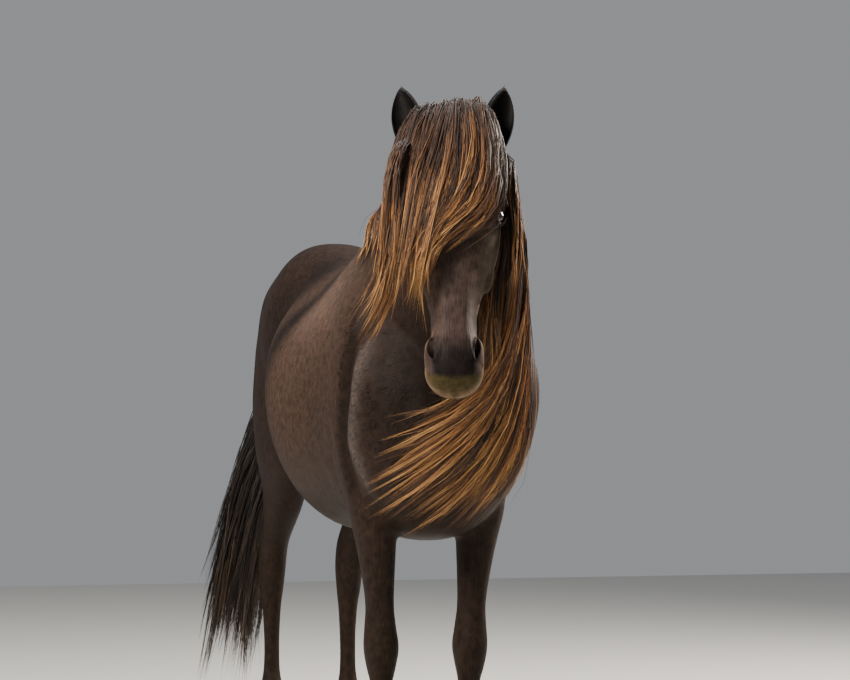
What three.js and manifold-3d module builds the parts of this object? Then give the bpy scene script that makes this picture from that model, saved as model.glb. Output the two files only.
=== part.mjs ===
// A standing Icelandic horse, life size, in millimetres with +Z up.
// It faces -Y, its neck turns a little to its right (-X), and its head hangs nearly upright.
// The wind comes from its left, so mane, forelock and tail sweep towards -X.
import * as THREE from 'three';
import { mergeVertices } from 'three/addons/utils/BufferGeometryUtils.js';
import ManifoldModule from 'manifold-3d';

const wasm = await ManifoldModule();
wasm.setup();

// Driving dimensions of the body
const WITHERS_HEIGHT = 1375;
const LEG_SPREAD = 100;
const HOCK_Y = 1130;
const LEFT_HIND_STEP = 110;
const STIFLE_HEIGHT = 600;
const HIP_RISE = 300;
const TORSO_SIDES = 24;
const NECK_SIDES = 20;
const HEAD_SIDES = 28;
const LEG_SIDES = 14;
const HOOF_SIDES = 16;

// Where the head is carried, and how it is turned and tipped
const TURN = THREE.MathUtils.degToRad(16);
const TURN_START_Y = 50;
const TURN_LENGTH = 500;
const POLL_REACH = 595;
const POLL_HEIGHT = 1460;
const NOSE_OUT = THREE.MathUtils.degToRad(18);

// Head features, from the poll: across, out of the face, down the face
const EYE_LOOK = THREE.MathUtils.degToRad(40);
const EYE_ACROSS = 78;
const EYE_OUT = -29;
const EYE_DOWN = 172;
const EYE_RADIUS = 20;
const LID_THICKNESS = 3;
const EAR_LENGTH = 142;
const EAR_HALF_WIDTH = 33;
const EAR_HALF_DEPTH = 21;
const EAR_WALL = 5;
const EAR_STEPS = 7;
const EAR_ROOT = 0.04;
const EAR_BASE_ACROSS = 70;
const EAR_TIP_ACROSS = 104;

// Hoof and pastern
const HOOF_HEIGHT = 76;
const CORONET_SLOPE = THREE.MathUtils.degToRad(16);

// Parts that touch keep this gap, and points closer than this are one point
const GAP = 0.3;
const SAME_POINT = 0.001;
const TWIST = 0.31;
const NUDGE = 0.013;
const NUDGES = 8;
const REGION = new THREE.Vector3(3000, 3000, 1500);

// Hair: a lock is a flat tapered strip with three sides, its ridge away from the skin
const LOCK_STEPS = 5;
const FIRST_STEP = 0.1;
const LOCK_THICKNESS = 5;
const LOCK_TIP = 0.14;
const LOCK_CLEARANCE = 9;
const ROOT_DEPTH = 14;
const LAYER_RISE = 7;
const HAIR_SEED = 21;
const SIDE_WIDTH = 82;
const SWEEP_WIDTH = 58;
const CHEEK_WIDTH = 40;
const FORELOCK_WIDTH = 44;
const TAIL_WIDTH = 56;

// Rows along the trunk: y, top, bottom, half width, height of the widest line, upper and lower fullness
const TRUNK_ROWS = [
  [-280, 965, 880, 35, 922, 1, 1],
  [-262, 1040, 800, 108, 925, 1, 1],
  [-215, 1150, 722, 168, 945, 1, 0.9],
  [-142, 1262, 658, 196, 962, 1.05, 0.85],
  [-55, 1338, 638, 208, 972, 1.15, 0.85],
  [50, WITHERS_HEIGHT, 636, 214, 975, 1.3, 0.85],
  [170, 1350, 644, 226, 975, 1.2, 0.85],
  [300, 1308, 646, 240, 965, 1, 0.9],
  [430, 1293, 642, 247, 960, 0.95, 0.9],
  [550, 1303, 666, 242, 985, 0.92, 0.9],
  [660, 1334, 724, 218, 1040, 0.88, 0.95],
  [770, 1356, 786, 196, 1095, 0.84, 1],
  [870, 1361, 840, 181, 1115, 0.82, 1],
  [970, 1340, 880, 162, 1120, 0.84, 1],
  [1060, 1292, 925, 134, 1120, 0.9, 1],
  [1130, 1228, 975, 94, 1110, 1, 1],
  [1168, 1160, 1035, 45, 1098, 1, 1],
];

// Rows up the neck: crest y, crest z, underline y, underline z, half width
const NECK_ROWS = [
  [150, 1330, -155, 850, 120],
  [50, 1378, -234, 955, 150],
  [-80, 1410, -280, 1060, 122],
  [-200, 1440, -308, 1140, 97],
  [-310, 1462, -326, 1205, 81],
  [-400, 1474, -345, 1258, 72],
  [-470, 1474, -356, 1296, 67],
  [-535, 1455, -405, 1310, 56],
];

// Rows down the head: down, face line, jaw line, half width, depth share of the widest line
const HEAD_ROWS = [
  [-18, -75, -130, 26, 0.45],
  [0, -46, -172, 58, 0.42],
  [40, -17, -205, 78, 0.38],
  [90, 0, -222, 88, 0.34],
  [140, 7, -230, 95, 0.31],
  [180, 7, -229, 97, 0.31],
  [225, 3, -215, 91, 0.33],
  [268, -1, -191, 79, 0.36],
  [306, -3, -166, 63, 0.4],
  [345, -3, -144, 52, 0.43],
  [393, -3, -127, 48, 0.46],
  [431, -2, -118, 50, 0.48],
  [464, -4, -112, 55, 0.48],
  [488, -10, -106, 56, 0.5],
  [507, -22, -98, 49, 0.5],
  [522, -40, -88, 34, 0.5],
  [530, -55, -75, 16, 0.5],
];

// Rows down a foreleg: z, outward shift from the leg line, front, back, half width
const FORELEG_ROWS = [
  [1240, 20, -20, 110, 30],
  [1180, 32, -95, 140, 52],
  [1090, 42, -165, 142, 65],
  [990, 46, -222, 124, 68],
  [900, 44, -222, 104, 66],
  [820, 36, -165, 90, 62],
  [775, 28, -124, 90, 62],
  [700, 20, -86, 62, 53],
  [610, 11, -64, 45, 42],
  [510, 4, -48, 35, 33],
  [455, 2, -47, 40, 36],
  [410, 0, -50, 45, 40],
  [365, 0, -42, 38, 34],
  [330, -1, -31, 32, 27],
  [270, -1, -27, 31, 24],
  [228, -1, -30, 38, 28],
  [192, -1, -37, 44, 34],
  [160, -1, -43, 27, 30],
  [125, -1, -54, 9, 28],
  [95, -1, -71, 3, 34],
  [60, -1, -92, 6, 40],
];

// Rows down a hind leg, front and back measured from the hock line
const HIND_LEG_ROWS = [
  [1290, -15, -330, -130, 40],
  [1230, -8, -440, -45, 62],
  [1140, 0, -482, 12, 68],
  [1040, 2, -470, 34, 72],
  [950, 6, -447, 18, 74],
  [870, 10, -432, -28, 72],
  [810, 10, -408, -62, 68],
  [745, 6, -330, -78, 57],
  [670, 2, -228, -55, 45],
  [612, 0, -146, 5, 37],
  [575, 0, -104, 32, 36],
  [530, 0, -76, 29, 37],
  [480, 0, -58, 21, 34],
  [420, -1, -44, 18, 27],
  [340, -1, -38, 16, 24],
  [262, -1, -40, 16, 25],
  [226, -1, -50, 21, 30],
  [194, -1, -58, 22, 34],
  [160, -1, -66, 2, 30],
  [125, -1, -78, -18, 28],
  [95, -1, -96, -28, 34],
  [60, -1, -118, -26, 39],
];

// Shapes built from rows of numbers

// One row between others, on a smooth curve through them; at is a row number with a fraction.
function rowAt(rows, at) {
  const first = Math.min(Math.floor(at), rows.length - 2);
  const part = at - first;
  const before = rows[Math.max(first - 1, 0)];
  const here = rows[first];
  const next = rows[first + 1];
  const after = rows[Math.min(first + 2, rows.length - 1)];
  return here.map((value, column) => {
    const slopeHere = (next[column] - before[column]) / 2;
    const slopeNext = (after[column] - value) / 2;
    const rise = next[column] - value;
    return value + part * (slopeHere + part * (3 * rise - 2 * slopeHere - slopeNext
      + part * (slopeHere + slopeNext - 2 * rise)));
  });
}

function powered(value, power) {
  return Math.sign(value) * Math.abs(value) ** power;
}

// A closed solid from points and triangles, turned so that its faces point outwards.
function solidFrom(points, triangles) {
  let volume = 0;
  for (let i = 0; i < triangles.length; i += 3) {
    const [a, b, c] = [points[triangles[i]], points[triangles[i + 1]], points[triangles[i + 2]]];
    volume += a.dot(b.clone().cross(c));
  }
  if (volume < 0) triangles.reverse();
  const vertProperties = new Float32Array(points.flatMap((point) => point.toArray()));
  const mesh = new wasm.Mesh({ numProp: 3, vertProperties, triVerts: new Uint32Array(triangles) });
  return new wasm.Manifold(mesh);
}

// A closed solid through rings of points, with its two ends closed on their middles.
function loft(rings) {
  const sides = rings[0].length;
  const points = rings.flat();
  const triangles = [];
  for (let ring = 0; ring < rings.length - 1; ring += 1) {
    for (let side = 0; side < sides; side += 1) {
      const a = ring * sides + side;
      const b = ring * sides + (side + 1) % sides;
      triangles.push(a, b, b + sides, a, b + sides, a + sides);
    }
  }
  const middle = (ring) => ring.reduce((sum, point) => sum.add(point), new THREE.Vector3())
    .divideScalar(sides);
  const lastRing = (rings.length - 1) * sides;
  points.push(middle(rings[0]), middle(rings.at(-1)));
  for (let side = 0; side < sides; side += 1) {
    const next = (side + 1) % sides;
    triangles.push(points.length - 2, next, side);
    triangles.push(points.length - 1, lastRing + side, lastRing + next);
  }
  return solidFrom(points, triangles);
}

// Rings made by ringOf from smooth rows, with some rings between each two rows.
function rowLoft(rows, between, ringOf) {
  const count = (rows.length - 1) * between;
  return loft(Array.from({ length: count + 1 }, (_, i) => ringOf(rowAt(rows, i / between))));
}

function ringPoints(sides, pointAt) {
  return Array.from({ length: sides }, (_, i) => pointAt((i / sides) * 2 * Math.PI));
}

// An ellipsoid, placed by a matrix
function ellipsoid(radii, centre, matrix = new THREE.Matrix4(), across = 12, down = 8) {
  const rings = Array.from({ length: down - 1 }, (_, ring) => {
    const tilt = ((ring + 1) / down) * Math.PI;
    return ringPoints(across, (angle) => new THREE.Vector3(
      Math.sin(tilt) * Math.cos(angle + TWIST),
      Math.sin(tilt) * Math.sin(angle + TWIST),
      Math.cos(tilt),
    ).multiply(radii).add(centre).applyMatrix4(matrix));
  });
  return loft(rings);
}

// A box with one face on a plane: point and normal give the plane, the box lies on the normal's side.
function regionBeyond(point, normal, size) {
  const geometry = new THREE.BoxGeometry(size.x, size.y, size.z);
  const turned = new THREE.Quaternion().setFromUnitVectors(new THREE.Vector3(0, 0, 1), normal);
  const corners = [];
  const position = geometry.getAttribute('position');
  const index = [];
  const seen = new Map();
  for (let i = 0; i < position.count; i += 1) {
    const corner = new THREE.Vector3().fromBufferAttribute(position, i);
    const key = corner.toArray().join();
    if (!seen.has(key)) {
      seen.set(key, corners.length);
      corner.z += size.z / 2;
      corners.push(corner.applyQuaternion(turned).add(point));
    }
    index.push(seen.get(key));
  }
  return solidFrom(corners, Array.from(geometry.getIndex().array, (i) => index[i]));
}

function geometryOf(body) {
  const { vertProperties, triVerts } = body.getMesh();
  const geometry = new THREE.BufferGeometry();
  geometry.setAttribute('position', new THREE.BufferAttribute(vertProperties, 3));
  geometry.setIndex(new THREE.BufferAttribute(triVerts, 1));
  return geometry;
}

// A geometry as a solid, once points that lie together are merged
function solidOf(geometry) {
  const merged = mergeVertices(geometry.toNonIndexed(), SAME_POINT);
  const vertProperties = merged.getAttribute('position').array;
  const triVerts = new Uint32Array(merged.getIndex().array);
  return new wasm.Manifold(new wasm.Mesh({ numProp: 3, vertProperties, triVerts }));
}

// The largest closed surface of a solid
function largest(body) {
  const pieces = body.decompose();
  return pieces.reduce((best, piece) => (piece.volume() > best.volume() ? piece : best));
}

// Whether each edge still has two faces once points that lie together are merged
function isSound(body) {
  const merged = mergeVertices(geometryOf(body).toNonIndexed(), SAME_POINT);
  const index = merged.getIndex().array;
  const points = merged.getAttribute('position').count;
  const faces = new Map();
  for (let i = 0; i < index.length; i += 3) {
    const corners = [index[i], index[i + 1], index[i + 2]];
    if (new Set(corners).size < 3) continue;
    corners.forEach((from, k) => {
      const to = corners[(k + 1) % 3];
      const edge = Math.min(from, to) * points + Math.max(from, to);
      faces.set(edge, (faces.get(edge) ?? 0) + 1);
    });
  }
  return [...faces.values()].every((count) => count === 2);
}

// The result of joining or cutting, with the tool moved a hair's breadth until it is sound
function sound(combine, tool) {
  for (let attempt = 0; attempt < NUDGES; attempt += 1) {
    const far = NUDGE * attempt;
    const nudged = attempt === 0
      ? tool
      : solidOf(geometryOf(tool).translate(far, -0.7 * far, 0.4 * far));
    const made = combine(nudged);
    if (attempt === NUDGES - 1 || isSound(made)) return made;
  }
  return combine(tool);
}

function fused(body, tool) {
  return sound((nudged) => body.add(nudged), tool);
}

function cut(body, tool) {
  return sound((nudged) => body.subtract(nudged), tool);
}

function joined(bodies) {
  return bodies.reduce(fused);
}

// The body

// The neck's turn: a point of the straight animal ahead of the turn's start moves round an arc.
function turnedPoint(x, y, z) {
  const ahead = Math.max(TURN_START_Y - y, 0);
  const behind = Math.max(y - TURN_START_Y, 0);
  const angle = TURN * Math.min(ahead / TURN_LENGTH, 1);
  const radius = TURN_LENGTH / TURN;
  const beyond = Math.max(ahead - TURN_LENGTH, 0);
  const forward = radius * Math.sin(angle) + beyond * Math.cos(angle);
  const sideways = radius * (1 - Math.cos(angle)) + beyond * Math.sin(angle);
  return new THREE.Vector3(
    x * Math.cos(angle) - sideways,
    TURN_START_Y + behind - forward - x * Math.sin(angle),
    z,
  );
}

const poll = turnedPoint(0, TURN_START_Y - POLL_REACH, POLL_HEIGHT);
const headPlace = new THREE.Matrix4().makeTranslation(poll.x, poll.y, poll.z)
  .multiply(new THREE.Matrix4().makeRotationZ(-TURN))
  .multiply(new THREE.Matrix4().makeRotationX(-NOSE_OUT));

// A point of the head from its distance across, out of the face and down the face
function headPoint(across, out, down) {
  return new THREE.Vector3(across, -out, -down).applyMatrix4(headPlace);
}

function headLocal(across, out, down) {
  return new THREE.Vector3(across, -out, -down);
}

function trunk(grow) {
  const middle = (TRUNK_ROWS[0][0] + TRUNK_ROWS.at(-1)[0]) / 2;
  const stretch = 1 + grow / (TRUNK_ROWS.at(-1)[0] - middle);
  return rowLoft(TRUNK_ROWS, 1.5, ([y, top, bottom, halfWidth, widest, upper, lower]) => (
    ringPoints(TORSO_SIDES, (angle) => {
      const rise = Math.sin(angle);
      const fullness = rise > 0 ? upper : lower;
      const height = rise > 0 ? top - widest : widest - bottom;
      return new THREE.Vector3(
        (halfWidth + grow) * powered(Math.cos(angle), fullness),
        middle + (y - middle) * stretch,
        widest + (height + grow) * rise,
      );
    })));
}

function neckForm(grow) {
  return rowLoft(NECK_ROWS, 1.5, ([crestY, crestZ, underY, underZ, halfWidth]) => (
    ringPoints(NECK_SIDES, (angle) => {
      const share = (1 - Math.sin(angle)) / 2;
      const depth = Math.hypot(crestY - underY, crestZ - underZ);
      const along = share + (2 * share - 1) * (grow / depth);
      const width = powered(Math.cos(angle), share < 0.5 ? 1.15 : 0.9);
      return turnedPoint(
        (halfWidth + grow) * width,
        crestY + (underY - crestY) * along,
        crestZ + (underZ - crestZ) * along,
      );
    })));
}

function skull(grow) {
  return rowLoft(HEAD_ROWS, 1.5, ([down, face, jaw, halfWidth, widestShare]) => (
    ringPoints(HEAD_SIDES, (angle) => {
      const rise = Math.sin(angle);
      const widest = face + (jaw - face) * widestShare;
      const height = rise > 0 ? face - widest : widest - jaw;
      const fullness = rise > 0 ? 0.8 : 1.05;
      return headPoint(
        (halfWidth + grow) * powered(Math.cos(angle), fullness),
        widest + (height + grow) * powered(rise, 0.95),
        down,
      );
    })));
}

function headLump(across, out, down, radiusAcross, radiusOut, radiusDown, grow = 0) {
  const radii = new THREE.Vector3(radiusAcross + grow, radiusOut + grow, radiusDown + grow);
  return ellipsoid(radii, headLocal(across, out, down), headPlace);
}

// Brow, cheek, crest of the cheek, nostril rims, lips and chin, raised on the skull
function headForms(grow) {
  const lumps = [
    headLump(0, -60, 492, 44, 42, 32, grow),
    headLump(0, -101, 474, 33, 23, 38, grow),
  ];
  for (const side of [-1, 1]) {
    lumps.push(headLump(side * 74, EYE_OUT, EYE_DOWN, 25, 32, 36, grow));
    lumps.push(headLump(side * 48, -140, 190, 40, 84, 92, grow));
    lumps.push(headLump(side * 62, -66, 262, 20, 20, 58, grow));
    lumps.push(headLump(side * 40, -36, 448, 16, 23, 34, grow));
  }
  return joined([skull(grow), ...lumps]);
}

// A leg hangs from its full width at the hip; below the stifle it stands on its own line.
function legLine(side, shift, z) {
  const stand = Math.abs(side);
  const hip = THREE.MathUtils.clamp((z - STIFLE_HEIGHT) / HIP_RISE, 0, 1);
  return Math.sign(side) * (LEG_SPREAD + shift) * (stand + (1 - stand) * hip);
}

function legLoft(rows, side, baseY, grow) {
  return rowLoft(rows, 1, ([z, shift, front, back, halfWidth]) => (
    ringPoints(LEG_SIDES, (angle) => new THREE.Vector3(
      legLine(side, shift, z) + (halfWidth + grow) * powered(Math.cos(angle), 0.9),
      baseY + (front + back) / 2 + ((back - front) / 2 + grow) * powered(Math.sin(angle), 0.9),
      z,
    ))));
}

const legs = [
  { name: 'right_foreleg', hoof: 'right_fore_hoof', rows: FORELEG_ROWS, side: -1, baseY: 0 },
  { name: 'left_foreleg', hoof: 'left_fore_hoof', rows: FORELEG_ROWS, side: 1, baseY: 0 },
  { name: 'right_hind_leg', hoof: 'right_hind_hoof', rows: HIND_LEG_ROWS, side: -1, baseY: HOCK_Y },
  {
    name: 'left_hind_leg',
    hoof: 'left_hind_hoof',
    rows: HIND_LEG_ROWS,
    side: 0.8,
    baseY: HOCK_Y - LEFT_HIND_STEP,
  },
];

// The whole body without ears, hooves and hair, larger by grow all round
function wholeBody(grow) {
  return joined([
    trunk(grow),
    neckForm(grow),
    headForms(grow),
    ...legs.map(({ rows, side, baseY }) => legLoft(rows, side, baseY, grow)),
  ]);
}

// Cuts between the parts

function unit(x, y, z) {
  return new THREE.Vector3(x, y, z).normalize();
}

// Everything ahead of a plane from the withers to the breast
function neckRegion(grow) {
  const normal = unit(0, -450, 350);
  const point = new THREE.Vector3(0, 20, 1400).addScaledVector(normal, -grow);
  return regionBeyond(point, normal, REGION);
}

// The head's side of a plane from behind the ears to behind the jaw, and ahead of the throat
function headRegion(grow) {
  const tip = new THREE.Quaternion().setFromRotationMatrix(headPlace);
  const behindJaw = unit(0, -0.69, -0.72).applyQuaternion(tip);
  const aheadOfThroat = unit(0, -1, 0).applyQuaternion(tip);
  const jaw = headPoint(0, -150, 44).addScaledVector(behindJaw, -grow);
  const throat = headPoint(0, -240, 140).addScaledVector(aheadOfThroat, -grow);
  return regionBeyond(jaw, behindJaw, REGION)
    .intersect(regionBeyond(throat, aheadOfThroat, REGION));
}

// Below a slanting plane through the armpit; it rises outwards
function armpitRegion(side, grow) {
  const outward = Math.sign(side);
  const normal = unit(outward * 0.5, 0, -0.85);
  const point = new THREE.Vector3(outward * LEG_SPREAD, 0, 735).addScaledVector(normal, -grow);
  return regionBeyond(point, normal, REGION);
}

// One side's haunch: below a plane through the groin that rises outwards, and behind the flank's fold
function groinRegion(side, grow) {
  const outward = Math.sign(side);
  const below = unit(outward * 0.6, 0.2, -0.77);
  const behind = unit(0, 0.98, 0.2);
  const sideways = unit(outward, 0, 0);
  const groin = new THREE.Vector3(outward * LEG_SPREAD, HOCK_Y - 250, 850).addScaledVector(below, -grow);
  const fold = new THREE.Vector3(0, 655, 760).addScaledVector(behind, -grow);
  return regionBeyond(groin, below, REGION)
    .intersect(regionBeyond(fold, behind, REGION))
    .intersect(regionBeyond(new THREE.Vector3(outward, 0, 0), sideways, REGION));
}

// Below the coronet, which falls towards the heel
function hoofRegion({ side, baseY, rows }, grow) {
  const normal = new THREE.Vector3(0, -Math.sin(CORONET_SLOPE), -Math.cos(CORONET_SLOPE));
  const [, , front, back] = rows.at(-1);
  const point = new THREE.Vector3(side * LEG_SPREAD, baseY + (front + back) / 2, HOOF_HEIGHT)
    .addScaledVector(normal, -grow);
  return regionBeyond(point, normal, REGION);
}

// Hooves, ears and eyes

function hoof(leg, grow = 0) {
  const [, , front, back] = leg.rows.at(-1);
  const centreX = leg.side * LEG_SPREAD;
  const coronetY = leg.baseY + (front + back) / 2;
  const toeReach = 20;
  const rows = [
    [0, 56, 63, toeReach],
    [4, 57, 64, toeReach],
    [30, 52, 59, toeReach * 0.7],
    [60, 44, 52, toeReach * 0.3],
    [96, 40, 48, 0],
  ];
  const body = rowLoft(rows, 1, ([z, halfWidth, halfLength, reach]) => (
    ringPoints(HOOF_SIDES, (angle) => new THREE.Vector3(
      centreX + (halfWidth + grow) * Math.cos(angle),
      coronetY - reach + (halfLength + grow) * Math.sin(angle) * (Math.sin(angle) > 0 ? 0.88 : 1),
      z,
    ))));
  return body.intersect(hoofRegion(leg, 0));
}

// An ear: a leaf on a slanting axis, hollowed from the front
function ear(side, grow) {
  const base = headLocal(side * EAR_BASE_ACROSS, -62, 16);
  const tip = headLocal(side * EAR_TIP_ACROSS, -58, 16 - EAR_LENGTH);
  const axis = tip.clone().sub(base);
  const opening = unit(side * 0.45, -0.9, 0);
  const across = new THREE.Vector3().crossVectors(axis, opening).normalize();
  const leaf = (radius, depth, forward, from, to) => {
    const shares = Array.from({ length: EAR_STEPS }, (_, i) => from + ((to - from) * i) / (EAR_STEPS - 1));
    if (grow > 0) shares.unshift(from - EAR_ROOT);
    const rings = shares.map((share) => {
      const leafWidth = Math.sin(Math.PI * (0.3 + 0.7 * share) ** 1.15) ** 0.75;
      const middle = base.clone().addScaledVector(axis, share)
        .addScaledVector(opening, forward + 10 * Math.sin(Math.PI * share));
      return ringPoints(12, (angle) => middle.clone()
        .addScaledVector(across, (radius * leafWidth + 2 * grow) * Math.cos(angle))
        .addScaledVector(opening, (depth * leafWidth + 2 * grow) * Math.sin(angle))
        .applyMatrix4(headPlace));
    });
    return loft(rings);
  };
  const outer = leaf(EAR_HALF_WIDTH, EAR_HALF_DEPTH, 0, 0, 0.995);
  if (grow > 0) return outer;
  return outer.subtract(leaf(EAR_HALF_WIDTH - EAR_WALL, EAR_HALF_DEPTH - EAR_WALL + 2, 13, 0.2, 0.93));
}

const eyeSides = [{ name: 'right_eye', side: -1 }, { name: 'left_eye', side: 1 }];
const earSides = [{ name: 'right_ear', side: -1 }, { name: 'left_ear', side: 1 }];

function eyeBall(side, radius) {
  return ellipsoid(
    new THREE.Vector3(radius, radius, radius),
    headLocal(side * EYE_ACROSS, EYE_OUT, EYE_DOWN),
    headPlace,
    16,
    8,
  );
}

// The almond opening between the lids, a long ellipsoid that looks outwards and a little ahead
function lidOpening(side) {
  const look = new THREE.Matrix4().makeRotationZ(side * -EYE_LOOK);
  const centre = new THREE.Matrix4().makeTranslation(side * EYE_ACROSS, -EYE_OUT, -EYE_DOWN);
  const matrix = headPlace.clone().multiply(centre).multiply(look);
  return ellipsoid(new THREE.Vector3(34, 13, 16), new THREE.Vector3(side * 22, 0, 0), matrix, 14, 8);
}

// A thin bowed groove round the lips, a slanting slot at each nostril
function mouthLine() {
  const slot = ellipsoid(
    new THREE.Vector3(90, 2, 74),
    headLocal(0, -84, 515),
    headPlace,
    18,
    8,
  );
  return slot.subtract(headLump(0, -80, 476, 40, 60, 46));
}

function nostril(side) {
  const slant = new THREE.Matrix4().makeRotationX(THREE.MathUtils.degToRad(20))
    .multiply(new THREE.Matrix4().makeRotationZ(side * THREE.MathUtils.degToRad(-35)));
  const place = new THREE.Matrix4().makeTranslation(side * 46, 25, -447);
  const matrix = headPlace.clone().multiply(place).multiply(slant);
  return ellipsoid(new THREE.Vector3(15, 8, 22), new THREE.Vector3(), matrix, 14, 8);
}

// The bare body, parted

const body = wholeBody(0);
const grownBody = wholeBody(GAP);
const eyes = eyeSides.map(({ side }) => eyeBall(side, EYE_RADIUS));
const ears = earSides.map(({ side }) => ear(side, 0));
const grownEars = joined(earSides.map(({ side }) => ear(side, GAP)));

function headPiece() {
  let head = body.intersect(headRegion(0));
  for (const { side } of eyeSides) {
    head = fused(head, eyeBall(side, EYE_RADIUS + GAP + LID_THICKNESS));
    head = cut(head, eyeBall(side, EYE_RADIUS + GAP));
    head = cut(head, lidOpening(side));
    head = cut(head, nostril(side));
  }
  return cut(head, mouthLine());
}

const bareHead = headPiece();
const behindHead = body.subtract(headRegion(GAP));
const bareNeck = behindHead.intersect(neckRegion(0));

// Hair

// A repeatable stream of numbers from 0 to 1
function numberStream(seed) {
  let state = seed;
  return () => {
    state = (state + 0x6d2b79f5) % 4294967296;
    let mixed = Math.imul(state ^ (state >>> 15), 1 | state);
    mixed = (mixed + Math.imul(mixed ^ (mixed >>> 7), 61 | mixed)) ^ mixed;
    return ((mixed ^ (mixed >>> 14)) >>> 0) / 4294967296;
  };
}

const draw = numberStream(HAIR_SEED);

function spread(amount) {
  return (draw() * 2 - 1) * amount;
}

// The faces of a solid, for finding the nearest point on it
function skinOf(solid) {
  const { vertProperties, triVerts } = solid.getMesh();
  const corner = (i) => new THREE.Vector3().fromArray(vertProperties, triVerts[i] * 3);
  return Array.from({ length: triVerts.length / 3 }, (_, i) => {
    const triangle = new THREE.Triangle(corner(i * 3), corner(i * 3 + 1), corner(i * 3 + 2));
    return { triangle, normal: triangle.getNormal(new THREE.Vector3()) };
  });
}

const skin = skinOf(body);

function nearestOnSkin(point) {
  const found = { distance: Infinity, point: new THREE.Vector3(), normal: null };
  const candidate = new THREE.Vector3();
  for (const { triangle, normal } of skin) {
    triangle.closestPointToPoint(point, candidate);
    const distance = candidate.distanceTo(point);
    if (distance < found.distance) {
      found.distance = distance;
      found.point.copy(candidate);
      found.normal = normal;
    }
  }
  return found;
}

// A point moved out of the body where it lies closer than the clearance, with the way out
function clearOfSkin(point, clearance) {
  const { point: onSkin, normal } = nearestOnSkin(point);
  const away = point.clone().sub(onSkin);
  const outside = away.dot(normal) > 0;
  const outward = outside ? away.clone().normalize() : normal.clone();
  if (outside && away.length() > clearance) return { point, outward };
  return { point: onSkin.clone().addScaledVector(outward, clearance), outward };
}

// A lock along a smooth curve: its root is sunk, its flat side faces the skin, its tip is thin.
function lock({ controls, width, layer, facing }, grow) {
  const curve = new THREE.CatmullRomCurve3(controls, false, 'centripetal');
  const rise = LOCK_CLEARANCE + layer * LAYER_RISE;
  const places = Array.from({ length: LOCK_STEPS }, (_, i) => {
    const share = FIRST_STEP + ((1 - FIRST_STEP) * i) / (LOCK_STEPS - 1);
    const { point, outward } = clearOfSkin(curve.getPointAt(share), rise);
    return { point, outward: facing ?? outward };
  });
  const start = curve.getPointAt(0);
  if (!facing) {
    const { point: onSkin, normal } = nearestOnSkin(start);
    start.copy(onSkin).addScaledVector(normal, -ROOT_DEPTH);
  }
  places.unshift({ point: start, outward: places[0].outward });
  const rings = places.map(({ point, outward }, i) => {
    const before = places[Math.max(i - 1, 0)].point;
    const after = places[Math.min(i + 1, LOCK_STEPS)].point;
    const along = after.clone().sub(before).normalize();
    const across = new THREE.Vector3().crossVectors(along, outward).normalize();
    const share = i / LOCK_STEPS;
    const taper = share < 0.35 ? 0.45 + 1.57 * share : 1 - (1 - LOCK_TIP) * ((share - 0.35) / 0.65) ** 1.8;
    const half = (width / 2) * taper + grow;
    const thick = (LOCK_THICKNESS / 2) * Math.sqrt(taper) + grow;
    return [
      point.clone().addScaledVector(across, half).addScaledVector(outward, -thick),
      point.clone().addScaledVector(outward, thick),
      point.clone().addScaledVector(across, -half).addScaledVector(outward, -thick),
    ];
  });
  return loft(rings);
}

// Value between the numbers of a list, at a share from 0 to 1
function along(list, share) {
  const place = Math.min(Math.max(share, 0), 1) * (list.length - 1);
  const first = Math.min(Math.floor(place), list.length - 2);
  return list[first].map((value, i) => value + (list[first + 1][i] - value) * (place - first));
}

// The crest from the poll (0) to the withers (1)
function crestPoint(share, across, lift) {
  const [y, z] = rowAt(NECK_ROWS, 6.2 - 5.2 * share);
  return turnedPoint(across, y, z + lift);
}

// Locks of the mane that fall on the left and blow across the breast below the muzzle
const SWEEP_SIDE = [[130, -300, 1190], [80, -420, 1225], [40, -480, 1260], [25, -500, 1290]];
const SWEEP_FRONT = [[138, -315, 965], [98, -345, 930], [32, -385, 985], [-10, -430, 1040]];
const SWEEP_TIPS = [
  [124, -315, 780], [52, -325, 690], [-66, -332, 662], [-138, -332, 676], [-203, -332, 700],
  [-232, -350, 815], [-190, -425, 935],
];

function sweepLocks(count) {
  return Array.from({ length: count }, (_, i) => {
    const share = (i + 0.5) / count;
    const controls = [
      crestPoint(0.62 - 0.58 * share, 4, 0),
      crestPoint(0.6 - 0.58 * share, 62, -32),
      new THREE.Vector3(...along(SWEEP_SIDE, share)),
      new THREE.Vector3(...along(SWEEP_FRONT, share)),
      new THREE.Vector3(...along(SWEEP_TIPS, share)),
    ];
    const level = i % 3;
    controls[2].x += 10 * level;
    controls[3].y -= 12 * level;
    controls[4].add(new THREE.Vector3(spread(8), -12 * level, spread(14)));
    return { controls, width: SWEEP_WIDTH + spread(4), layer: 2 + level };
  });
}

// Locks that hang on one side of the neck, longest by the poll
function sideLocks(count, side, from, to, longest, shortest) {
  return Array.from({ length: count }, (_, i) => {
    const place = (i + 0.5) / count;
    const share = from + (to - from) * place;
    const length = longest + (shortest - longest) * place + spread(30);
    const half = 62 + 70 * share;
    const controls = [
      crestPoint(share, side * 26, -18),
      crestPoint(share, side * half * 0.9, -60),
      crestPoint(share - 0.03, side * (half + 6), -length * 0.5),
      crestPoint(share - 0.07, side * (half + 10), -length),
    ];
    return { controls, width: SIDE_WIDTH + spread(6), layer: i % 2 };
  });
}

// Locks by the right cheek that blow away from the neck
const CHEEK_TIPS = [[-236, -470, 1180], [-262, -455, 1105], [-300, -450, 1050], [-338, -450, 1018]];

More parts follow.
